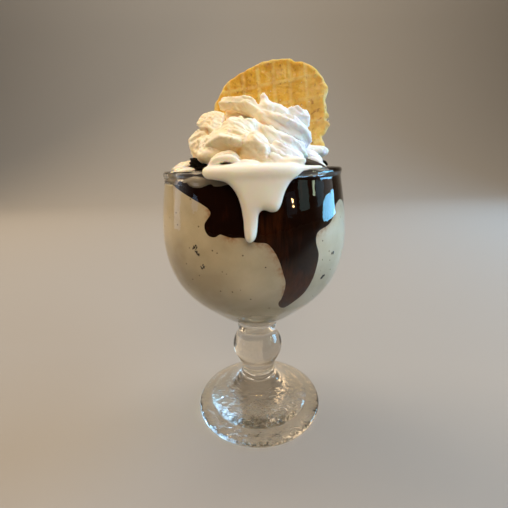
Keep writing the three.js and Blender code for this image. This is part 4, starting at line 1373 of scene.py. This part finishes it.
# Small warm lamps about the room, in metres.
LAMPS = [
    (0.5, -0.5, 0.255), (-0.35, -0.45, 0.95), (-0.55, -0.3, 0.9), (-0.2, -0.62, 1.05), (-0.62, -0.05, 1),
    (-0.4, -0.7, 0.8), (0.15, -0.6, 1.1), (-0.75, -0.4, 0.7), (0.35, -0.5, 0.9), (-0.1, -0.35, 1.2),
    (-0.48, -0.52, 1.1), (-0.3, -0.25, 1.15), (-0.7, -0.2, 1.2), (-0.85, -0.55, 0.95), (0.62, -0.3, 1),
    (0.05, -0.85, 0.95),
]


def new_light(name, kind, place, power, colour):
    """A light of a kind at a place in metres, with its power and colour."""
    lamp = bpy.data.objects.new(name, bpy.data.lights.new(name, kind))
    lamp.data.energy, lamp.data.color = power, linear(colour)[:3]
    lamp.location = place
    bpy.context.scene.collection.objects.link(lamp)
    return lamp


def soft_light(name, place, size, power, colour, target=TARGET, mirrored=False):
    """A rectangle of light at a place, facing a target, in metres, that gloss may mirror or not."""
    lamp = new_light(name, "AREA", place, power, colour)
    lamp.data.shape = "RECTANGLE"
    lamp.data.size, lamp.data.size_y = size
    lamp.visible_glossy = mirrored
    lamp.rotation_euler = (Vector(target) - Vector(place)).to_track_quat("-Z", "Y").to_euler()
    return lamp


def sheen_lights():
    """Lights that only the gloss of cream, waffle and sugar shows, so the glass keeps its dark room."""
    pieces = bpy.data.collections.new("glossy_food")
    for name in GLOSSY_FOOD:
        pieces.objects.link(bpy.data.objects[name])
    for sheen in SHEEN:
        lamp = soft_light(*sheen, mirrored=True)
        lamp.visible_diffuse = False
        lamp.light_linking.receiver_collection = pieces


def floor_finish(settings):
    """Painted board, rolled matt: pale and even, darker in front of the picture."""
    material, tree, shader, place = started("painted_board")
    # Painted shade: the floor darkens towards the front, standing for the unlit room there.
    back = node(tree, "SeparateXYZ", {"Vector": place}).outputs["Y"]
    front = node(tree, "MapRange", {"Value": back, "From Min": -0.1, "From Max": -0.38},
                 interpolation_type="SMOOTHSTEP")
    tone = node(tree, "Mix", {SHARE: front, FIRST: settings.floor, SECOND: linear("#3C3834")},
                data_type="RGBA")
    feed(tree, shader, {"Base Color": tone, "Roughness": 0.7})
    return material


def sweep_skin():
    """A floor that bends up behind in a wide arc and goes on as a wall, a little below the foot."""
    side = np.array([[-5000.0], [5000.0]])
    bend = arc((1300, 1200), 1200, -90, 0, 40)
    section = np.concatenate([[(-5000, 0)], bend, [(2500, 4500)]])
    grid = np.stack(np.broadcast_arrays(side, section[:, 0], section[:, 1] - 0.3), axis=-1)
    rows = len(section)
    start = np.arange(rows - 1)
    quads = np.stack([start, start + rows, start + rows + 1, start + 1], axis=1)
    return grid.reshape(-1, 3), quads, NO_TRIANGLES


def studio_world():
    """An even pale surround, darker towards the front, where a room would be unlit."""
    world = bpy.data.worlds.new("studio")
    world.use_nodes = True
    tree = world.node_tree
    way = node(tree, "TexCoord").outputs["Generated"]
    ahead = node(tree, "SeparateXYZ", {"Vector": way}).outputs["Y"]
    back = node(tree, "MapRange", {"Value": ahead, "From Min": -0.3, "From Max": 0.5},
                interpolation_type="SMOOTHSTEP")
    tone = node(tree, "Mix", {SHARE: back, FIRST: linear("#26201C"), SECOND: linear("#F2EEE8")},
                data_type="RGBA")
    feed(tree, tree.nodes["Background"], {"Color": tone, "Strength": 0.8})
    bpy.context.scene.world = world


class SUNDAE_OT_stage(bpy.types.Operator):
    """Makes the floor, the lights and the camera"""

    bl_idname = "sundae.stage"
    bl_label = "Stage"

    def execute(self, context):
        settings = context.scene.sundae_stage
        mesh = bpy.data.meshes.new("floor")
        fill_mesh(mesh, *sweep_skin())
        mesh.materials.append(floor_finish(settings))
        floor = bpy.data.objects.new("floor", mesh)
        context.scene.collection.objects.link(floor)
        soft_light("overhead", (-1.25, 0.75, 1.45), (1.0, 1.0), settings.key, "#FFE4C0")
        soft_light("right_fill", (1.5, -0.6, 0.95), (0.6, 0.5), 9.0, "#A8D4FF")
        soft_light("left_fill", (-1.4, -0.7, 1.3), (0.9, 0.7), 2.0, "#FFE2B4")
        soft_light("front_fill", (0.3, -1.8, 1.6), (1.5, 1.5), settings.fill, "#FFE8C8")
        soft_light("back_wash", (0.0, 0.6, 2.8), (2.4, 0.6), 60.0, "#FFF6EA", target=(0.0, 2.4, 0.7))
        soft_light("high_window", (1.3, 0.35, 0.95), (0.9, 0.5), settings.window, "#9ACDFF")
        for card in CARDS:
            soft_light(*card, mirrored=True)
        sheen_lights()
        for place in LAMPS:
            lamp = new_light("lamp", "POINT", place, LAMP_POWER, "#FFC27A")
            lamp.data.shadow_soft_size = LAMP_RADIUS
        studio_world()
        camera = bpy.data.objects.new("camera", bpy.data.cameras.new("camera"))
        camera.data.lens, camera.data.sensor_width = CAMERA_LENS, SENSOR
        camera.data.clip_start, camera.data.clip_end = 1 * MM, 50
        turn = (Matrix.Rotation(math.radians(90 - CAMERA_PITCH), 4, "X")
                @ Matrix.Rotation(math.radians(CAMERA_ROLL), 4, "Z"))
        camera.matrix_world = Matrix.Translation(Vector(CAMERA_PLACE) * MM) @ turn
        context.scene.collection.objects.link(camera)
        context.scene.camera = camera
        context.scene.view_settings.view_transform = "Standard"
        return {"FINISHED"}


# --- add-on

STEPS = [
    SUNDAE_OT_goblet, SUNDAE_OT_ice_cream, SUNDAE_OT_hot_fudge, SUNDAE_OT_whipped_cream, SUNDAE_OT_waffle,
    SUNDAE_OT_stage,
]


class SUNDAE_PT_panel(bpy.types.Panel):
    """Lists the sundae's pieces"""

    bl_idname = "SUNDAE_PT_panel"
    bl_label = "Sundae"
    bl_space_type = "VIEW_3D"
    bl_region_type = "UI"
    bl_category = "Sundae"

    def draw(self, context):
        for step in STEPS:
            self.layout.operator(step.bl_idname)
        for name, group in SETTINGS.items():
            for field in group.__annotations__:
                self.layout.prop(getattr(context.scene, name), field)


def register():
    for group in SETTINGS.values():
        bpy.utils.register_class(group)
    for kind in [*STEPS, SUNDAE_PT_panel]:
        bpy.utils.register_class(kind)
    for name, group in SETTINGS.items():
        setattr(bpy.types.Scene, name, bpy.props.PointerProperty(type=group))


def unregister():
    for name in SETTINGS:
        delattr(bpy.types.Scene, name)
    for kind in [SUNDAE_PT_panel, *reversed(STEPS)]:
        bpy.utils.unregister_class(kind)
    for group in reversed(SETTINGS.values()):
        bpy.utils.unregister_class(group)


def main():
    """Makes every piece in order."""
    register()
    bpy.ops.sundae.goblet()
    bpy.ops.sundae.ice_cream()
    bpy.ops.sundae.hot_fudge()
    bpy.ops.sundae.whipped_cream()
    bpy.ops.sundae.waffle()
    bpy.ops.sundae.stage()


if __name__ == "__main__":
    main()
